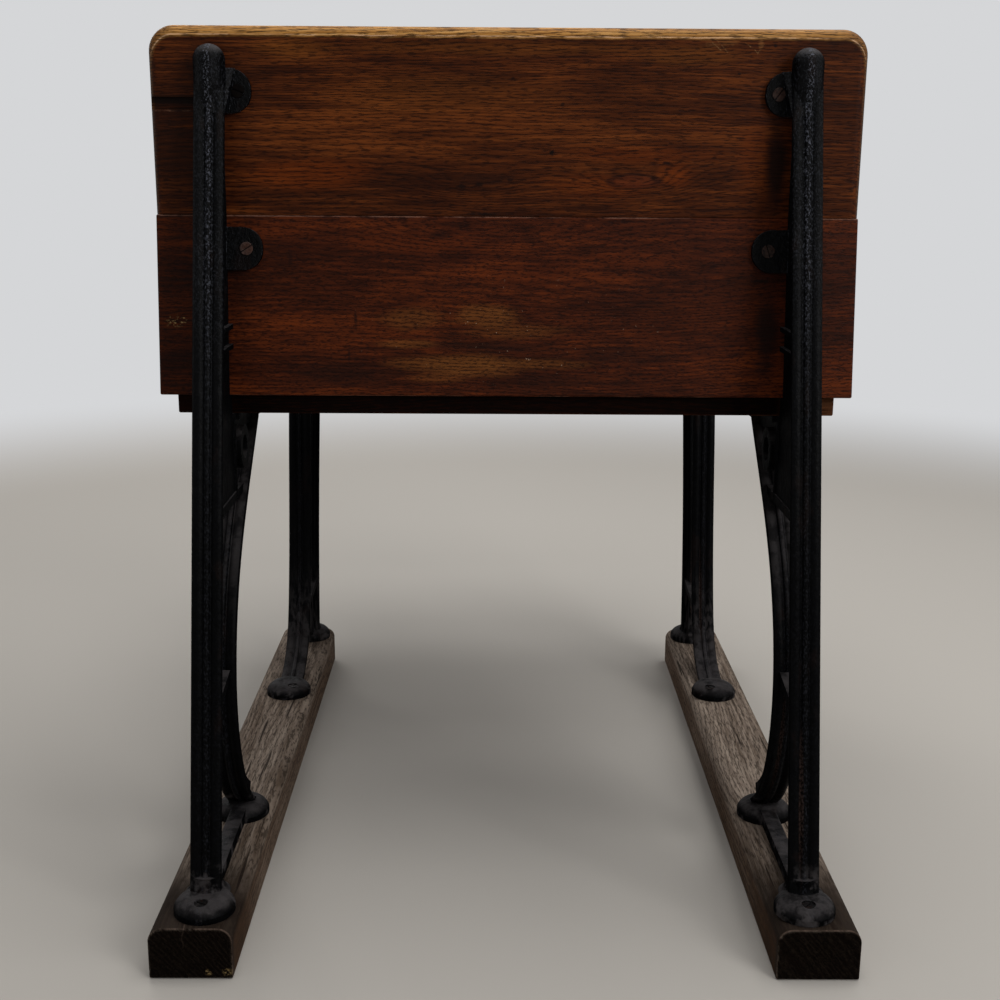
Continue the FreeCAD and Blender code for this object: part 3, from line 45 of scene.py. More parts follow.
class Graph:
    """A material under construction. Numbers may stand wherever sockets do. Lengths are metres."""

    def __init__(self, name):
        self.material = bpy.data.materials.new(name)
        self.material.use_nodes = True
        self.tree = self.material.node_tree
        self.tree.nodes.clear()
        self.output = self.add("ShaderNodeOutputMaterial")
        place = self.add("ShaderNodeTexCoord")
        self.place = place.outputs["Object"]
        self.facing = place.outputs["Normal"]

    def add(self, kind, **settings):
        node = self.tree.nodes.new(kind)
        for key, value in settings.items():
            setattr(node, key, value)
        return node

    def put(self, socket, value):
        if isinstance(value, bpy.types.NodeSocket):
            self.tree.links.new(value, socket)
        elif value is not None:
            socket.default_value = value

    def math(self, operation, a, b=None, c=None):
        node = self.add("ShaderNodeMath", operation=operation)
        for socket, value in zip(node.inputs, (a, b, c)):
            self.put(socket, value)
        return node.outputs[0]

    def plus(self, *terms):
        total = terms[0]
        for term in terms[1:]:
            total = self.math("ADD", total, term)
        return total

    def times(self, *factors):
        product = factors[0]
        for factor in factors[1:]:
            product = self.math("MULTIPLY", product, factor)
        return product

    def parts(self, vector=None):
        node = self.add("ShaderNodeSeparateXYZ")
        self.put(node.inputs[0], vector or self.place)
        return list(node.outputs)

    def joined(self, *values):
        node = self.add("ShaderNodeCombineXYZ")
        for socket, value in zip(node.inputs, values):
            self.put(socket, value)
        return node.outputs[0]

    def noise(self, per_metre, detail=3.0, rough=0.55, place=None, shift=0.0):
        """Cloudy pattern with about this many blobs a metre along each axis, 0 to 1 about 0.5."""
        scaled = self.add("ShaderNodeMapping")
        self.put(scaled.inputs["Vector"], place or self.place)
        scaled.inputs["Scale"].default_value = per_metre
        scaled.inputs["Location"].default_value = (shift, 1.7 * shift, 2.9 * shift)
        node = self.add("ShaderNodeTexNoise")
        self.put(node.inputs["Vector"], scaled.outputs[0])
        node.inputs["Scale"].default_value = 1.0
        node.inputs["Detail"].default_value = detail
        node.inputs["Roughness"].default_value = rough
        return node.outputs["Fac"]

    def step(self, value, low, high, to_low=0.0, to_high=1.0):
        """Smooth step of a value between two limits, which may run either way."""
        node = self.add("ShaderNodeMapRange", interpolation_type="SMOOTHSTEP")
        for socket, number in zip(node.inputs, (value, low, high, to_low, to_high)):
            self.put(socket, number)
        return node.outputs["Result"]

    def ramp(self, value, *stops):
        node = self.add("ShaderNodeValToRGB")
        self.put(node.inputs["Fac"], value)
        marks = node.color_ramp.elements
        while len(marks) < len(stops):
            marks.new(1.0)
        for mark, (position, colour) in zip(marks, stops):
            mark.position = position
            mark.color = colour
        return node.outputs["Color"]

    def mix(self, share, a, b):
        node = self.add("ShaderNodeMix", data_type="RGBA")
        self.put(node.inputs["Factor"], share)
        self.put(node.inputs[6], a)
        self.put(node.inputs[7], b)
        return node.outputs[2]

    def away(self, middle, radii):
        """Distance from a point, in radii per axis. An axis whose radius is 0 doesn't count."""
        total = 0.0
        for value, centre, radius in zip(self.parts(), middle, radii):
            if radius:
                share = self.math("DIVIDE", self.math("SUBTRACT", value, centre), radius)
                total = self.math("MULTIPLY_ADD", share, share, total)
        return self.math("SQRT", total)

    def patch(self, middle, radii, ragged=None, reach=1.3):
        """Soft patch, 1 in its middle and 0 outside. A noise may make its rim ragged."""
        far = self.away(middle, radii)
        if ragged is not None:
            far = self.math("MULTIPLY_ADD", ragged, reach, self.math("SUBTRACT", far, reach / 2))
        return self.step(far, 1.1, 0.3)

    def arris(self, radius):
        """1 where the surface turns sharply within the radius, and a normal rounded there."""
        rounded = self.add("ShaderNodeBevel", samples=4)
        rounded.inputs["Radius"].default_value = radius
        plain = self.add("ShaderNodeNewGeometry").outputs["Normal"]
        dot = self.add("ShaderNodeVectorMath", operation="DOT_PRODUCT")
        self.put(dot.inputs[0], rounded.outputs[0])
        self.put(dot.inputs[1], plain)
        return self.step(dot.outputs["Value"], 0.995, 0.9), rounded.outputs[0]

    def bump(self, height, distance, strength=1.0, normal=None):
        node = self.add("ShaderNodeBump")
        self.put(node.inputs["Height"], height)
        node.inputs["Distance"].default_value = distance
        node.inputs["Strength"].default_value = strength
        self.put(node.inputs["Normal"], normal)
        return node.outputs["Normal"]

    def finish(self, colour, roughness, normal=None, metallic=0.0, level=0.5):
        shader = self.add("ShaderNodeBsdfPrincipled")
        self.put(shader.inputs["Base Color"], colour)
        self.put(shader.inputs["Roughness"], roughness)
        self.put(shader.inputs["Normal"], normal)
        self.put(shader.inputs["Metallic"], metallic)
        shader.inputs["Specular IOR Level"].default_value = PLAIN_LEVEL
        self.put(shader.inputs["Specular IOR Level"], level)
        self.tree.links.new(shader.outputs[0], self.output.inputs["Surface"])
        return self.material


# ------------------------------------------------------------ oak


def oak(name, along, tones, seed, shine=0.45, spacing=0.0032, eyes=(), marks=None, ends=0.3, gloss=0.06,
        fine=1.0):
    """Flat-sawn oak with its grain along X (0) or Y (1). Its rings arch round the eyes, which are
    (along, across, half length, half width, rings lifted). The marks may add to its colour, ends is
    the tone of the end grain as a share of the darkest one, and gloss is how much the varnish
    mirrors. Pores and streaks shorten as the grain gets finer."""
    g = Graph(name)
    dark, brown, amber = tones
    x, y, z = g.parts()
    if along == 1:
        flow, across, depth = y, g.plus(x, g.times(z, 0.8)), g.times(z, 0.3)
    elif eyes:
        flow, across, depth = x, z, y
    else:
        flow, across, depth = x, g.plus(z, g.times(y, 0.8)), g.times(y, 0.3)
    grain = g.joined(flow, across, depth)
    broad = g.noise((3.5, 22, 22), 3, 0.6, grain, seed)
    cloud = g.noise((2.2, 11, 11), 1, 0.5, grain, seed + 5)
    ripple = g.noise((26, 80, 80), 2, 0.6, grain, seed + 9)
    rings = g.plus(g.times(across, 1 / spacing), g.times(cloud, 16.0), g.times(ripple, 1.6))
    for at, over, half_length, half_width, lift in eyes:
        share_along = g.math("DIVIDE", g.math("SUBTRACT", flow, at), half_length)
        share_across = g.math("DIVIDE", g.math("SUBTRACT", across, over), half_width)
        far = g.plus(g.times(share_along, share_along), g.times(share_across, share_across))
        rings = g.math("MULTIPLY_ADD", g.math("EXPONENT", g.times(far, -1.0)), lift, rings)
    line = g.math("MULTIPLY_ADD", g.math("SINE", g.times(rings, math.tau)), 0.5, 0.5)
    line = g.times(line, line)
    # pores are short dashes that crowd together in the rings
    pores = g.noise((95 * fine, 900, 900), 2, 0.6, grain, seed)
    pore = g.step(g.math("MULTIPLY_ADD", line, 0.075, pores), 0.53, 0.64)
    streak = g.noise((16 * fine, 330, 330), 3, 0.65, grain, seed)
    tone = g.plus(g.times(broad, 0.55), g.times(streak, 0.45))
    colour = g.ramp(tone, (0.40, dark), (0.50, brown), (0.62, amber))
    rough = g.math("MULTIPLY_ADD", streak, 0.3, shine - 0.12)
    if marks:
        colour, rough = marks(g, colour, rough, streak)
    deep = [0.25 * c for c in dark[:3]] + [1]
    colour = g.mix(g.times(line, 0.28), colour, deep)
    colour = g.mix(g.times(pore, 0.7), colour, deep)
    # end grain is darker and has round pores
    end = g.step(g.math("ABSOLUTE", g.parts(g.facing)[along]), 0.75, 0.9)
    dots = g.step(g.noise((700, 700, 700), 2, 0.6), 0.5, 0.62)
    colour = g.mix(g.times(end, 0.62), colour, [ends * c for c in dark[:3]] + [1])
    colour = g.mix(g.times(end, dots, 0.6), colour, [0.3 * ends * c for c in dark[:3]] + [1])
    # arrises are rubbed to a paler tone
    edge, rounded = g.arris(0.0016)
    edge = g.times(edge, g.step(streak, 0.42, 0.6), g.step(broad, 0.35, 0.6, 0.3, 1.0))
    colour = g.mix(g.times(edge, 0.5), colour, [min(1, 1.8 * c + 0.015) for c in amber[:3]] + [1])
    height = g.plus(g.times(line, -0.2), g.times(pore, -0.8), g.times(streak, 0.25))
    return g.finish(colour, rough, g.bump(height, 0.0002, 0.5, rounded), level=gloss)


def edge_distance(g, half, top, radius):
    """Distance in from the sides and the rounded top of the upper back board."""
    x, _, z = g.parts()
    in_x = g.math("SUBTRACT", g.math("ABSOLUTE", x), half - radius)
    in_z = g.math("SUBTRACT", z, top - radius)
    px = g.math("MAXIMUM", in_x, 0.0)
    pz = g.math("MAXIMUM", in_z, 0.0)
    corner = g.math("SQRT", g.plus(g.times(px, px), g.times(pz, pz)))
    inside = g.math("MINIMUM", g.math("MAXIMUM", in_x, in_z), 0.0)
    return g.math("SUBTRACT", radius, g.plus(corner, inside))


def patched(g, colour, tint, ragged, *places):
    """Lay soft patches of a tint over a back board: (x, z, half length, half height, strength)."""
    for x, z, wide, high, strength in places:
        spot = g.patch((x, 0, z), (wide, 0, high), ragged)
        colour = g.mix(g.times(spot, strength), colour, tint)
    return colour


def scratched(g, colour, *places):
    """Fine pale scratches in a back board: (x, z, half length, slope of the scratch)."""
    x, _, z = g.parts()
    shaky = g.noise((260, 260, 260), 3, 0.7)
    for at, over, half, slope in places:
        dx = g.math("SUBTRACT", x, at)
        dz = g.math("SUBTRACT", z, over)
        aside = g.math("MULTIPLY_ADD", dx, -slope, g.math("MULTIPLY_ADD", shaky, 0.004, dz))
        scratch = g.times(g.step(g.math("ABSOLUTE", g.math("SUBTRACT", aside, 0.002)), 0.0009, 0.0002),
                          g.step(g.math("ABSOLUTE", dx), half, 0.5 * half), g.step(shaky, 0.36, 0.56))
        colour = g.mix(g.times(scratch, 0.45), colour, linear(150, 112, 72))
    return colour


UPPER_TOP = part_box("back_board_upper")[1][2]
UPPER_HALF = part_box("back_board_upper")[1][0]
UPPER_CORNER = 0.022
GROOVE_DROP, GROOVE_LENGTH, GROOVE_HIGH = 0.059, 0.050, 0.0105
GROOVE_TOP = UPPER_TOP - GROOVE_DROP
GROOVE_END = GROOVE_LENGTH - UPPER_HALF
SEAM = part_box("back_board_upper")[0][2]
LOWER_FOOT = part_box("back_board_lower")[0][2]


def upper_marks(g, colour, rough, streak):
    """Amber patches, dark stains and painted shadows beside the irons, knots, scratches, the worn top edge
    with painted light on it, and a groove with painted shade and highlight.
    """
    ragged = g.noise((9, 9, 34), 4, 0.65)
    x, _, z = g.parts()
    amber = g.mix(streak, linear(84, 32, 4), linear(118, 52, 10))
    colour = patched(g, colour, amber, ragged,
                     (-0.172, 0.642, 0.065, 0.018, 0.55), (0.08, 0.636, 0.06, 0.012, 0.4),
                     (0.144, 0.645, 0.020, 0.014, 0.6), (0.215, 0.655, 0.02, 0.05, 0.35),
                     (0.12, 0.662, 0.08, 0.010, 0.35))
    golden = g.mix(streak, linear(86, 42, 10), linear(124, 72, 26))
    colour = patched(g, colour, golden, ragged,
                     (-0.184, 0.747, 0.040, 0.012, 0.65), (0.02, 0.749, 0.18, 0.008, 0.35),
                     (0.15, 0.744, 0.06, 0.009, 0.4), (-0.06, 0.712, 0.13, 0.02, 0.22))
    # painted shadows cast by the irons on the board to their left (x 0.232, -0.288, -0.255), with one real
    # dark stain near the middle
    colour = patched(g, colour, linear(24, 9, 5), ragged,
                     (0.232, 0.653, 0.011, 0.045, 0.95), (-0.288, 0.655, 0.05, 0.07, 0.4),
                     (-0.02, 0.640, 0.035, 0.007, 0.5), (-0.255, 0.73, 0.03, 0.02, 0.3))
    # rings of the knot to the right of the middle
    knot = g.away((0.109, 0, 0.6395), (0.0235, 0, 0.0068))
    swirl = g.math("MULTIPLY_ADD", ragged, 0.7, g.math("SUBTRACT", knot, 0.35))
    ring = g.times(g.step(g.math("ABSOLUTE", g.math("SUBTRACT", swirl, 0.9)), 0.28, 0.05),
                   g.step(streak, 0.35, 0.5))
    colour = g.mix(g.times(g.step(swirl, 1.0, 0.6), 0.45), colour, linear(84, 36, 20))
    colour = g.mix(g.times(ring, 0.7), colour, linear(26, 8, 6))
    dots = g.noise((400, 400, 400), 2, 0.6)
    colour = patched(g, colour, linear(10, 4, 3), dots,
                     (0.038, 0.663, 0.0035, 0.0028, 1.0), (0.137, 0.655, 0.005, 0.0018, 0.9),
                     (-0.04, 0.634, 0.006, 0.0025, 0.8), (-0.025, 0.636, 0.004, 0.0025, 0.8),
                     (0.002, 0.64, 0.004, 0.002, 0.7), (0.226, 0.752, 0.002, 0.0016, 0.9),
                     (0.196, 0.729, 0.002, 0.0016, 0.9), (0.2, 0.676, 0.005, 0.0013, 0.8),
                     (-0.022, 0.611, 0.018, 0.0014, 0.9), (0.0035, 0.724, 0.002, 0.0014, 0.7),
                     (0.046, 0.703, 0.002, 0.0018, 0.7))
    colour = patched(g, colour, linear(136, 90, 48), dots, (0.2135, 0.7535, 0.0028, 0.0055, 0.4),
                     (0.186, 0.7545, 0.012, 0.0030, 0.3), (0.172, 0.7525, 0.008, 0.003, 0.2))
    colour = scratched(g, colour, (0.180, 0.752, 0.008, -1.0), (0.176, 0.751, 0.006, -0.8),
                       (0.206, 0.750, 0.007, -0.7), (0.214, 0.750, 0.004, 1.3))
    # bare wood round the edge: the whole bull nose on top, and less of it down the sides; its pale colour is
    # partly worn wood and partly painted light on the upward-facing bull nose
    depth = edge_distance(g, UPPER_HALF, UPPER_TOP, UPPER_CORNER)
    wander = g.noise((38, 38, 38), 4, 0.6)
    band = g.step(z, UPPER_TOP - 0.034, UPPER_TOP - 0.004, 0.0018, 0.0088)
    rim = g.math("SUBTRACT", depth, g.math("MULTIPLY_ADD", wander, 0.0030, g.math("SUBTRACT", band, 0.0015)))
    fibres = g.noise((14, 420, 520), 4, 0.7)
    worn_and_lit = g.ramp(fibres, (0.36, linear(124, 80, 32)), (0.5, linear(162, 114, 56)),
                  (0.66, linear(190, 144, 86)))
    worn_and_lit = g.mix(g.step(z, 0.69, UPPER_TOP - 0.014, 0.85, 0.0), worn_and_lit, linear(48, 27, 14))
    worn_and_lit = g.mix(g.step(x, 0.04, 0.15, 0.0, 0.24), worn_and_lit, linear(92, 58, 28))
    corner = g.step(g.math("ABSOLUTE", x), UPPER_HALF - 0.026, UPPER_HALF - 0.006)
    worn_and_lit = g.mix(g.times(corner, 0.7), worn_and_lit, linear(80, 50, 27))
    colour = g.mix(g.step(rim, 0.0026, -0.0006), colour, worn_and_lit)
    # painted highlight: a broken bright line along the lower rim of the band
    lip_highlight = g.times(g.step(g.math("ABSOLUTE", g.plus(rim, 0.0007)), 0.0009, 0.0002),
                  g.step(wander, 0.43, 0.53, 0.25, 1.0), g.step(z, UPPER_TOP - 0.030, UPPER_TOP - 0.012))
    colour = g.mix(g.times(lip_highlight, 0.7), colour, linear(208, 168, 132))
    shade = g.times(g.step(g.math("ABSOLUTE", g.math("SUBTRACT", rim, 0.0012)), 0.0016, 0.0004),
                    g.step(wander, 0.56, 0.44))
    shade = g.times(shade, 0.2, g.step(z, UPPER_TOP - 0.02, UPPER_TOP - 0.01))
    colour = g.mix(shade, colour, linear(24, 11, 6))
    # the groove at the left end: painted shadow under its upper arris, and a painted highlight along its
    # lower one
    left = g.step(x, GROOVE_END + 0.002, GROOVE_END)
    below = g.math("ABSOLUTE", g.math("SUBTRACT", z, GROOVE_TOP - 0.002))
    black = g.times(left, g.step(below, 0.0042, 0.0024))
    colour = g.mix(g.times(black, 0.85), colour, linear(4, 2, 1))
    # painted highlight along the groove's lower arris
    arris = g.step(g.math("ABSOLUTE", g.math("SUBTRACT", z, GROOVE_TOP - GROOVE_HIGH - 0.0007)), 0.0011,
                   0.0004)
    colour = g.mix(g.times(left, arris, g.step(wander, 0.40, 0.52), 0.75), colour, linear(122, 84, 62))
    return colour, rough


def lower_marks(g, colour, rough, streak):
    """Rubbed yellow patches in the middle, dark stains and painted shadows beside the irons, nicks, old
    paint and a painted highlight on the top arris.
    """
    ragged = g.noise((12, 12, 44), 4, 0.7)
    x, _, z = g.parts()
    pale = g.mix(streak, linear(76, 33, 10), linear(122, 76, 33))
    colour = patched(g, colour, pale, ragged,
                     (-0.015, 0.524, 0.034, 0.012, 0.75), (-0.084, 0.521, 0.034, 0.012, 0.5),
                     (-0.036, 0.481, 0.075, 0.011, 0.75), (0.01, 0.510, 0.05, 0.009, 0.4),
                     (-0.086, 0.499, 0.03, 0.005, 0.55), (-0.062, 0.470, 0.035, 0.007, 0.4),
                     (0.03, 0.482, 0.05, 0.006, 0.5))
    colour = patched(g, colour, linear(84, 34, 9), ragged,
                     (-0.08, 0.585, 0.08, 0.010, 0.55), (0.10, 0.572, 0.06, 0.008, 0.5),
                     (-0.2, 0.596, 0.04, 0.008, 0.5), (0.20, 0.53, 0.09, 0.03, 0.25),
                     (0.02, 0.560, 0.10, 0.010, 0.3))
    # painted shadows cast by the irons on the board to their left (x 0.229, -0.288), among real dark stains
    # elsewhere
    colour = patched(g, colour, linear(20, 8, 5), ragged,
                     (0.229, 0.507, 0.014, 0.045, 0.9), (-0.288, 0.53, 0.05, 0.12, 0.35),
                     (-0.005, 0.497, 0.07, 0.006, 0.6), (0.1, 0.49, 0.07, 0.012, 0.45),
                     (-0.235, 0.54, 0.014, 0.05, 0.4), (-0.15, 0.472, 0.07, 0.014, 0.4),
                     (0.06, 0.468, 0.07, 0.008, 0.35))
    dots = g.noise((400, 400, 400), 2, 0.6)
    colour = patched(g, colour, linear(12, 5, 4), dots,
                     (-0.133, 0.52, 0.002, 0.009, 0.7), (-0.139, 0.49, 0.0015, 0.008, 0.6),
                     (-0.19, 0.573, 0.003, 0.009, 0.5), (-0.06, 0.592, 0.012, 0.004, 0.6),
                     (0.02, 0.59, 0.012, 0.004, 0.6), (0.221, 0.555, 0.010, 0.002, 0.8))
    nick = g.times(g.step(g.noise((260, 260, 260), 2, 0.7), 0.71, 0.75),
                   g.patch((0.0, 0, 0.51), (0.17, 0, 0.05)))
    colour = g.mix(g.times(nick, 0.6), colour, linear(176, 150, 126))
    chips = g.times(g.step(g.noise((300, 300, 500), 3, 0.7), 0.54, 0.6),
                    g.patch((-0.290, 0, 0.518), (0.011, 0, 0.006), dots))
    colour = g.mix(g.times(chips, 0.85), colour, linear(176, 144, 96))
    # the top arris carries a painted highlight, strongest to the left; the bottom arris is rubbed pale
    wander = g.noise((16, 16, 16), 4, 0.65)
    shown = g.plus(g.math("MULTIPLY_ADD", x, -0.5, wander), g.step(x, 0.262, 0.268, 0.0, 0.25))
    seam_highlight = g.times(g.step(g.math("ABSOLUTE", g.math("SUBTRACT", z, SEAM - 0.0007)), 0.0009, 0.0003),
                  g.step(shown, 0.42, 0.56))
    colour = g.mix(g.times(seam_highlight, 0.55), colour, linear(128, 92, 76))
    foot = g.times(g.step(g.math("SUBTRACT", z, LOWER_FOOT), 0.0011, 0.0004), g.step(wander, 0.45, 0.55))
    colour = g.mix(g.times(foot, 0.4), colour, linear(116, 82, 66))
    return colour, rough


# where the painted shade on the shelf's rear edge stops, at the irons
SHELF_END = 0.245


def shelf_painted_shade(g, colour, rough, streak):
    """The shelf's rear edge: painted shade makes it nearly black between the irons and darkens its left end,
    and painted light brightens its right end.
    """
    x, _, _ = g.parts()
    inside = g.step(g.math("ABSOLUTE", x), SHELF_END + 0.012, SHELF_END - 0.006)
    face = g.step(g.parts(g.facing)[1], -0.5, -0.9)
    # painted light: the left end is darkened and the right end lightened, as if lit from the right
    colour = g.mix(g.step(x, -0.2, -0.24, 0.0, 0.8), colour, linear(8, 3, 2))
    colour = g.mix(g.step(x, 0.2, 0.24, 0.0, 0.5), colour, linear(84, 58, 38))
    # painted shade: the rear face between the irons is made nearly black
    return g.mix(g.times(inside, face, 0.98), colour, linear(2, 1, 1)), rough


RUNNER_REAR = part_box("runner_left")[0][1]
RUNNER_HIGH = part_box("runner_right")[1][2]
RUNNER_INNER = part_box("runner_right")[0][0]
RUNNER_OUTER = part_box("runner_right")[1][0]
RUNNER_ROUND = 0.012


def runner_marks(g, colour, rough, streak):
    """Grey dry tops, dark dirty ends and feet, long splits and a few flecks of old paint."""
    x, y, z = g.parts()
    near = g.math("SUBTRACT", y, RUNNER_REAR)
    cloud = g.noise((60, 60, 60), 4, 0.6)
    dirt = g.mix(cloud, linear(6, 3, 2), linear(20, 11, 8))
    ragged = g.math("MULTIPLY_ADD", cloud, 0.05, near)
    colour = g.mix(g.step(ragged, 0.20, 0.06, 0.0, 0.93), colour, dirt)
    colour = g.mix(g.step(near, 0.0022, 0.0008), colour, g.mix(cloud, linear(4, 2, 1), linear(18, 9, 6)))
    split = g.noise((170, 5, 170), 2, 0.6)
    split = g.times(g.step(split, 0.655, 0.69), g.step(near, 0.002, 0.01))
    colour = g.mix(g.times(split, 0.85), colour, linear(20, 14, 11))
    side = g.step(z, 0.037, 0.028)
    brown = g.mix(cloud, linear(44, 28, 18), linear(84, 60, 42))
    colour = g.mix(g.times(side, g.step(near, 0.002, 0.012), 0.6), colour, brown)
    # rubbed arris round the end, a split from its top, and flecks of cream paint low down
    sideways = g.math("ABSOLUTE", x)
    inner = g.math("SUBTRACT", sideways, RUNNER_INNER)
    round_in = g.math("MAXIMUM", g.math("SUBTRACT", RUNNER_ROUND, inner), 0.0)
    round_out = g.math("MAXIMUM", g.math("SUBTRACT", sideways, RUNNER_OUTER - RUNNER_ROUND), 0.0)
    drop = g.math("MAXIMUM", g.math("SUBTRACT", z, RUNNER_HIGH - RUNNER_ROUND), 0.0)
    aside = g.math("MAXIMUM", round_in, round_out)
    reach = g.math("SQRT", g.plus(g.times(aside, aside), g.times(drop, drop)))
    rub = g.times(g.step(g.math("ABSOLUTE", g.math("SUBTRACT", near, 0.0012)), 0.0012, 0.0004),
                  g.step(reach, 0.0095, 0.0115), g.step(cloud, 0.36, 0.5))
    colour = g.mix(g.times(rub, 0.45), colour, linear(96, 80, 70))
    check = g.math("ABSOLUTE", g.math("MULTIPLY_ADD", cloud, 0.006, g.plus(x, 0.2605)))
    check = g.times(g.step(check, 0.0007, 0.0002), g.step(z, 0.026, 0.034), g.step(near, 0.012, 0.004))
    colour = g.mix(g.times(check, 0.5), colour, linear(88, 74, 66))
    flakes = g.times(g.step(g.noise((330, 330, 330), 3, 0.7), 0.49, 0.56), g.step(near, 0.004, 0.001),
                     g.math("MAXIMUM", g.patch((-0.2285, 0, 0.006), (0.0050, 0, 0.0045), cloud, 0.8),
                            g.patch((-0.244, 0, 0.006), (0.0035, 0, 0.0035), cloud, 0.8)))
    colour = g.mix(g.times(flakes, 0.9), colour, linear(190, 160, 108))
    return colour, g.plus(rough, 0.15)


UPPER_TONES = (linear(42, 15, 3), linear(68, 30, 8), linear(104, 52, 18))
LOWER_TONES = (linear(40, 13, 3), linear(62, 24, 7), linear(92, 39, 11))
BOX_TONES = (linear(50, 20, 7), linear(72, 34, 15), linear(96, 50, 24))
SEAT_TONES = (linear(56, 24, 8), linear(84, 42, 17), linear(114, 62, 28))
RUNNER_TONES = (linear(84, 71, 60), linear(112, 99, 88), linear(142, 128, 115))
UPPER_EYES = ((0.109, 0.6395, 0.05, 0.016, 6.0), (-0.03, 0.634, 0.05, 0.014, 4.5))
LOWER_EYES = ((-0.02, 0.597, 0.09, 0.016, 4.0), (0.10, 0.54, 0.12, 0.03, 4.0))
back_upper = oak("oak_back_upper", 0, UPPER_TONES, 1.3, eyes=UPPER_EYES, marks=upper_marks)
back_lower = oak("oak_back_lower", 0, LOWER_TONES, 4.1, 0.45, 0.0042, LOWER_EYES, lower_marks, fine=2.2)
shelf_oak = oak("oak_shelf", 0, BOX_TONES, 7.7, 0.5, marks=shelf_painted_shade, gloss=0.02)
side_oak = oak("oak_box_side", 1, BOX_TONES, 9.2)
front_oak = oak("oak_box_front", 0, BOX_TONES, 11.9)
lid_oak = [oak(f"oak_lid_{i}", 0, SEAT_TONES, 13.1 + 2.7 * i, 0.4, 0.0045) for i in (1, 2)]
ledge_oak = oak("oak_ledge", 0, SEAT_TONES, 21.3, 0.4)
slat_oak = [oak(f"oak_slat_{i}", 0, SEAT_TONES, 25.3 + 1.9 * i, 0.36) for i in range(4)]
rail_oak = [oak(f"oak_rail_{i}", 0, SEAT_TONES, 35.3 + 1.9 * i, 0.38) for i in range(2)]
CATHEDRAL = (-0.18, 0.296, 0.22, 0.022, 5.0)
runner_oak = [oak(f"oak_runner_{i}", 1, RUNNER_TONES, 42.3 + 3.3 * i, 0.6, 0.006, eyes, runner_marks,
                  ends=0.03, gloss=0.015) for i, eyes in enumerate(((), (CATHEDRAL,)))]


# ------------------------------------------------------------ iron, steel, brass, glaze


# middle planes of the iron standards, either side of the desk's own
STANDARD_X = 0.2515


def iron():
    """Thick black paint over sand-cast iron, rough high up, with painted glints on the grains of its crests.
    """
    g = Graph("cast_iron")
    lumps = g.noise((170, 170, 120), 3, 0.6)
    sand = g.noise((620, 620, 400), 3, 0.7)
    x, y, z = g.parts()
    rising = g.step(z, 0.42, 0.66, 0.14, 1.0)
    colour = g.mix(lumps, linear(1, 1, 1), linear(6, 6, 7))
    grime = g.noise((14, 14, 14), 4, 0.6)
    smears = g.noise((62, 62, 62), 4, 0.65, shift=2.0)
    dust = g.times(g.step(z, 0.088, 0.066), g.step(smears, 0.50, 0.66))
    upward = g.step(g.parts(g.facing)[2], 0.35, 0.8)
    dust = g.math("MAXIMUM", dust, g.times(upward, g.step(smears, 0.38, 0.58, 0.2, 0.8)))
    runs = g.times(g.step(z, 0.18, 0.09), g.step(y, 0.1, 0.15),
                   g.step(g.noise((210, 210, 16), 3, 0.6), 0.42, 0.62))
    dust = g.math("MAXIMUM", dust, g.times(runs, 0.6))
    colour = g.mix(g.times(dust, 0.5), colour, linear(74, 70, 70))
    rust = g.step(g.noise((55, 55, 16), 4, 0.6, shift=5.0), 0.57, 0.68)
    colour = g.mix(g.times(rust, 0.16), colour, linear(34, 23, 19))
    streak = g.times(g.patch((0.2485, 0, 0.135), (0.0022, 0, 0.07), grime, 0.8), g.step(sand, 0.4, 0.55))
    colour = g.mix(g.times(streak, 0.6), colour, linear(58, 44, 38))
    # painted glints: grains of the casting are painted bright along the ridges and arrises, most of all high
    # up
    edge, rounded = g.arris(0.0015)
    aside = g.math("ABSOLUTE", g.math("SUBTRACT", g.math("ABSOLUTE", x), STANDARD_X))
    thin = g.times(g.step(aside, 0.030, 0.010, 0.0, 0.22), g.step(grime, 0.4, 0.6, 0.5, 1.0))
    crest = g.plus(g.step(aside, 0.0034, 0.0016), g.times(edge, 0.7), thin)
    grain = g.times(g.step(sand, 0.50, 0.62), rising, g.math("MINIMUM", crest, 1.0))
    colour = g.mix(g.times(grain, 0.75), colour, linear(78, 80, 88))
    flat = g.step(g.math("ABSOLUTE", g.parts(g.facing)[0]), 0.6, 0.95)
    rough = g.plus(g.math("MULTIPLY_ADD", lumps, 0.3, 0.26), g.times(dust, 0.3), g.times(flat, 0.25))
    height = g.plus(g.times(sand, rising, 1.2), g.times(lumps, 1.2))
    level = g.times(g.math("MULTIPLY_ADD", flat, -0.043, 0.05), g.step(z, 0.25, 0.62, 0.45, 1.0))
    return g.finish(colour, rough, g.bump(height, 0.0009, 0.8, rounded), level=level)


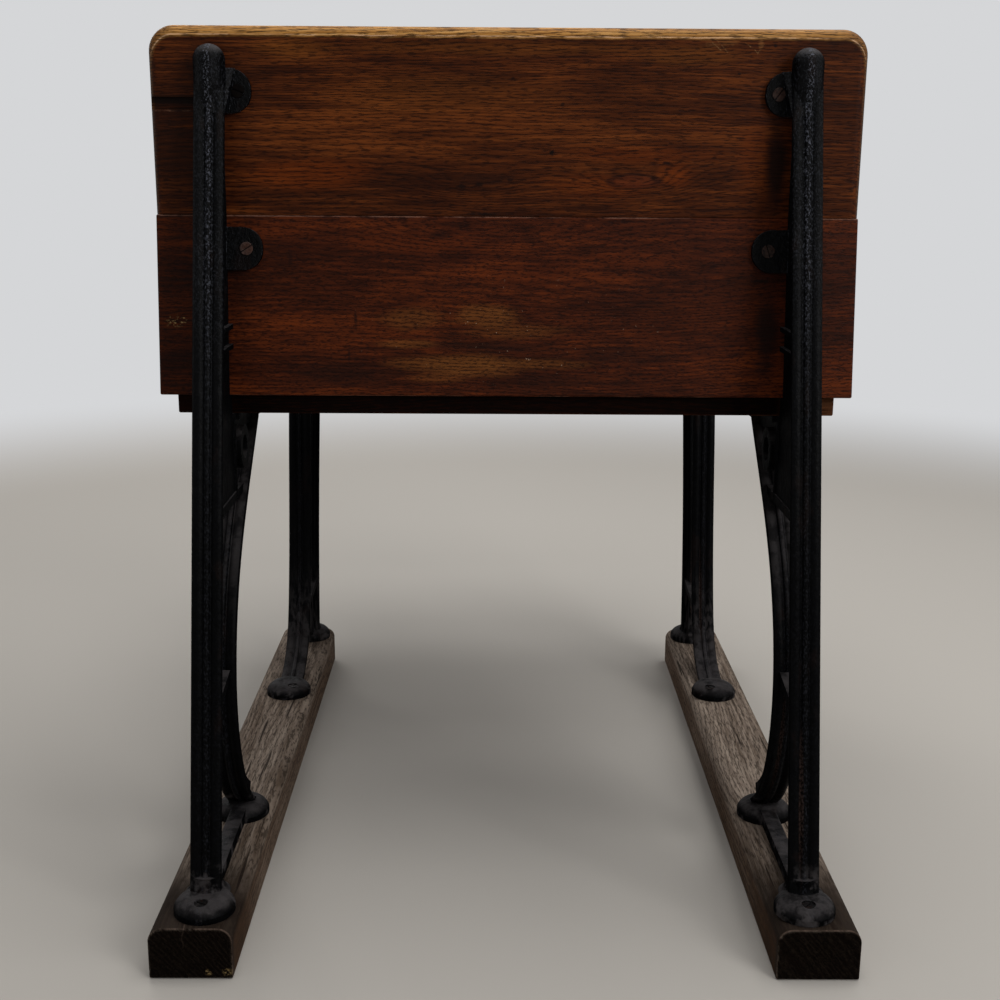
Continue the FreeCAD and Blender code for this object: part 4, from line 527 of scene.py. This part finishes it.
def metal(name, dull, bright, rough, metallic, stain=0.0, painted=False, gloss=0.5):
    """Small turned or pressed metal pieces, tarnished in patches. Of the four screws in the lugs,
    the one high up at the left may be painted over, and the right ones thinly."""
    g = Graph(name)
    spots = g.noise((420, 420, 420), 4, 0.65)
    colour = g.mix(g.step(spots, 0.36, 0.64), dull, bright)
    rust = g.step(g.noise((170, 170, 170), 3, 0.6, shift=3.0), 0.48, 0.6)
    colour = g.mix(g.times(rust, stain), colour, linear(62, 34, 22))
    # painted shade: the colour darkens in slots and crevices where the surface is occluded
    crevice_shade = g.add("ShaderNodeAmbientOcclusion", samples=8)
    crevice_shade.inputs["Distance"].default_value = 0.0012
    colour = g.mix(g.step(crevice_shade.outputs["AO"], 0.85, 0.45, 0.0, 0.9), colour, linear(6, 4, 4))
    if painted:
        x, _, z = g.parts()
        paint = g.times(g.step(x, -0.1, -0.2), g.step(z, 0.68, 0.70))
        paint = g.math("MAXIMUM", paint, g.step(x, 0.1, 0.2, 0.0, 0.5))
        colour = g.mix(g.times(paint, 0.97), colour, linear(7, 6, 6))
        metallic = g.math("MULTIPLY_ADD", paint, -metallic, metallic)
        gloss = g.math("MULTIPLY_ADD", paint, -0.9 * gloss, gloss)
    _, rounded = g.arris(0.0006)
    return g.finish(colour, g.math("MULTIPLY_ADD", spots, 0.3, rough), g.bump(spots, 0.0002, 0.5, rounded),
                    metallic, gloss)


def glaze():
    """White glazed cup with ink dried round its mouth, and a fine craze."""
    g = Graph("porcelain")
    low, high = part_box("inkwell")
    middle = [(low[i] + high[i]) / 2 for i in range(3)]
    blot = g.noise((190, 190, 190), 4, 0.6)
    ink = g.patch(middle, (0.014, 0.014, 0), blot, 0.7)
    colour = g.mix(g.times(ink, 0.9), linear(222, 217, 204), linear(22, 24, 44))
    craze = g.add("ShaderNodeTexVoronoi", feature="DISTANCE_TO_EDGE")
    g.put(craze.inputs["Vector"], g.place)
    craze.inputs["Scale"].default_value = 170
    line = g.step(craze.outputs["Distance"], 0.035, 0.0, 0.0, 0.3)
    colour = g.mix(line, colour, linear(150, 130, 100))
    return g.finish(colour, g.math("MULTIPLY_ADD", blot, 0.12, 0.08), g.bump(blot, 0.0002, 0.3), level=0.6)


cast_iron = iron()
old_steel = metal("worn_steel", linear(30, 20, 17), linear(78, 62, 55), 0.35, 0.5, 0.6)
lug_steel = metal("lug_steel", linear(26, 19, 17), linear(72, 55, 49), 0.4, 0.3, 0.45, True, 0.15)
painted_steel = metal("painted_steel", linear(3, 3, 3), linear(18, 16, 16), 0.4, 0.1, 0.1, gloss=0.05)
brass = metal("brass", linear(96, 70, 34), linear(170, 132, 72), 0.28, 0.9, 0.15)
porcelain = glaze()

FINISHES = {
    "back_board_upper": back_upper, "back_board_lower": back_lower, "book_shelf": shelf_oak,
    "box_side_left": side_oak, "box_side_right": side_oak, "box_floor": front_oak, "box_front": front_oak,
    "pen_ledge": ledge_oak, "lid_board_rear": lid_oak[0], "lid_board_front": lid_oak[1],
    "lid_cleat_left": side_oak, "lid_cleat_right": side_oak, "inkwell": porcelain,
    "runner_left": runner_oak[0], "runner_right": runner_oak[1],
    "backrest_rail_lower": rail_oak[0], "backrest_rail_upper": rail_oak[1],
    "runner_screws": painted_steel, "lug_screws": lug_steel,
}
for i in range(4):
    FINISHES[f"seat_slat_{i + 1}"] = slat_oak[i]


def finish_of(name):
    """Material of a node: its own, or that of the metal it is made of."""
    if name in FINISHES:
        return FINISHES[name]
    if name.startswith("hinge_"):
        return brass
    if "screws" in name or name.startswith("seat_pivot"):
        return old_steel
    return cast_iron


for name, node in nodes.items():
    for slot in node.material_slots:
        slot.material = finish_of(name)


# ------------------------------------------------------------ camera, floor and light

YAW, PITCH, ROLL = math.radians(0.40), math.radians(13.83), math.radians(0.37)
CAMERA_PLACE = (-0.01356, RUNNER_REAR - 0.98872, 0.65069)
SENSOR, FOCAL_LENGTH = 36.0, 48.68
lens = bpy.data.cameras.new("camera")
lens.sensor_width = SENSOR
lens.lens = FOCAL_LENGTH
lens.clip_end = 60
camera = bpy.data.objects.new("camera", lens)
pan = Matrix.Rotation(-YAW, 4, "Z")
tilt = Matrix.Rotation(math.pi / 2 - PITCH, 4, "X")
roll = Matrix.Rotation(ROLL, 4, "Z")
camera.matrix_world = Matrix.Translation(CAMERA_PLACE) @ pan @ tilt @ roll
bpy.context.scene.collection.objects.link(camera)
bpy.context.scene.camera = camera

FLOOR = linear(165, 160, 153)
WALL = linear(213, 214, 216)


def floor_material():
    """Pale floor that fades into the pale background away from the desk."""
    g = Graph("floor")
    fade = g.step(g.away((0, 0, 0), (1, 1, 0)), 1.5, 2.6)
    path = g.add("ShaderNodeLightPath").outputs
    seen = g.math("MAXIMUM", path["Is Camera Ray"], path["Is Glossy Ray"])
    seen = g.math("MAXIMUM", seen, path["Is Transmission Ray"])
    plain = g.add("ShaderNodeBsdfDiffuse")
    plain.inputs["Color"].default_value = FLOOR
    glow = g.add("ShaderNodeEmission")
    glow.inputs["Color"].default_value = WALL
    blend = g.add("ShaderNodeMixShader")
    g.put(blend.inputs[0], g.times(fade, seen))
    g.put(blend.inputs[1], plain.outputs[0])
    g.put(blend.inputs[2], glow.outputs[0])
    g.put(g.output.inputs["Surface"], blend.outputs[0])
    return g.material


FLOOR_RADIUS, FLOOR_CORNERS, FLOOR_Z = 9, 96, -0.0005
disc = bpy.data.meshes.new("floor")
turns = [i * math.tau / FLOOR_CORNERS for i in range(FLOOR_CORNERS)]
rim = [(FLOOR_RADIUS * math.cos(turn), FLOOR_RADIUS * math.sin(turn), FLOOR_Z) for turn in turns]
disc.from_pydata(rim, [], [range(FLOOR_CORNERS)])
disc.materials.append(floor_material())
floor = bpy.data.objects.new("floor", disc)
bpy.context.scene.collection.objects.link(floor)

world = bpy.data.worlds.new("studio")
bpy.context.scene.world = world
world.use_nodes = True
air = world.node_tree
air.nodes.clear()
surround = air.nodes.new("ShaderNodeBackground")
surround.inputs["Color"].default_value = (0.62, 0.63, 0.65, 1)
surround.inputs["Strength"].default_value = 0.6
backdrop = air.nodes.new("ShaderNodeBackground")
backdrop.inputs["Color"].default_value = WALL
path = air.nodes.new("ShaderNodeLightPath")
seen = air.nodes.new("ShaderNodeMath")
seen.operation = "ADD"
through = air.nodes.new("ShaderNodeMath")
through.operation = "ADD"
through.use_clamp = True
chosen = air.nodes.new("ShaderNodeMixShader")
end = air.nodes.new("ShaderNodeOutputWorld")
for source, target in (
        (path.outputs["Is Camera Ray"], seen.inputs[0]),
        (path.outputs["Is Glossy Ray"], seen.inputs[1]),
        (seen.outputs[0], through.inputs[0]),
        (path.outputs["Is Transmission Ray"], through.inputs[1]),
        (through.outputs[0], chosen.inputs[0]),
        (surround.outputs[0], chosen.inputs[1]),
        (backdrop.outputs[0], chosen.inputs[2]),
        (chosen.outputs[0], end.inputs[0])):
    air.links.new(source, target)


def softbox(name, place, target, size, power):
    """Rectangular lamp that looks at its target."""
    light = bpy.data.lights.new(name, "AREA")
    light.shape = "RECTANGLE"
    light.size, light.size_y = size
    light.energy = power
    lamp = bpy.data.objects.new(name, light)
    lamp.location = place
    lamp.rotation_euler = (Vector(target) - Vector(place)).to_track_quat("-Z", "Y").to_euler()
    bpy.context.scene.collection.objects.link(lamp)


softbox("overhead", (0.4, 0.1, 2.7), (0, 0, 0.3), (2.4, 2.4), 62)
softbox("camera_side", (2.0, -2.5, 1.8), (0, -0.2, 0.4), (1.3, 1.3), 46)
softbox("far_side", (-1.4, 2.6, 1.8), (0, 0.3, 0.4), (1.4, 1.4), 26)

bpy.context.scene.view_settings.view_transform = "Standard"
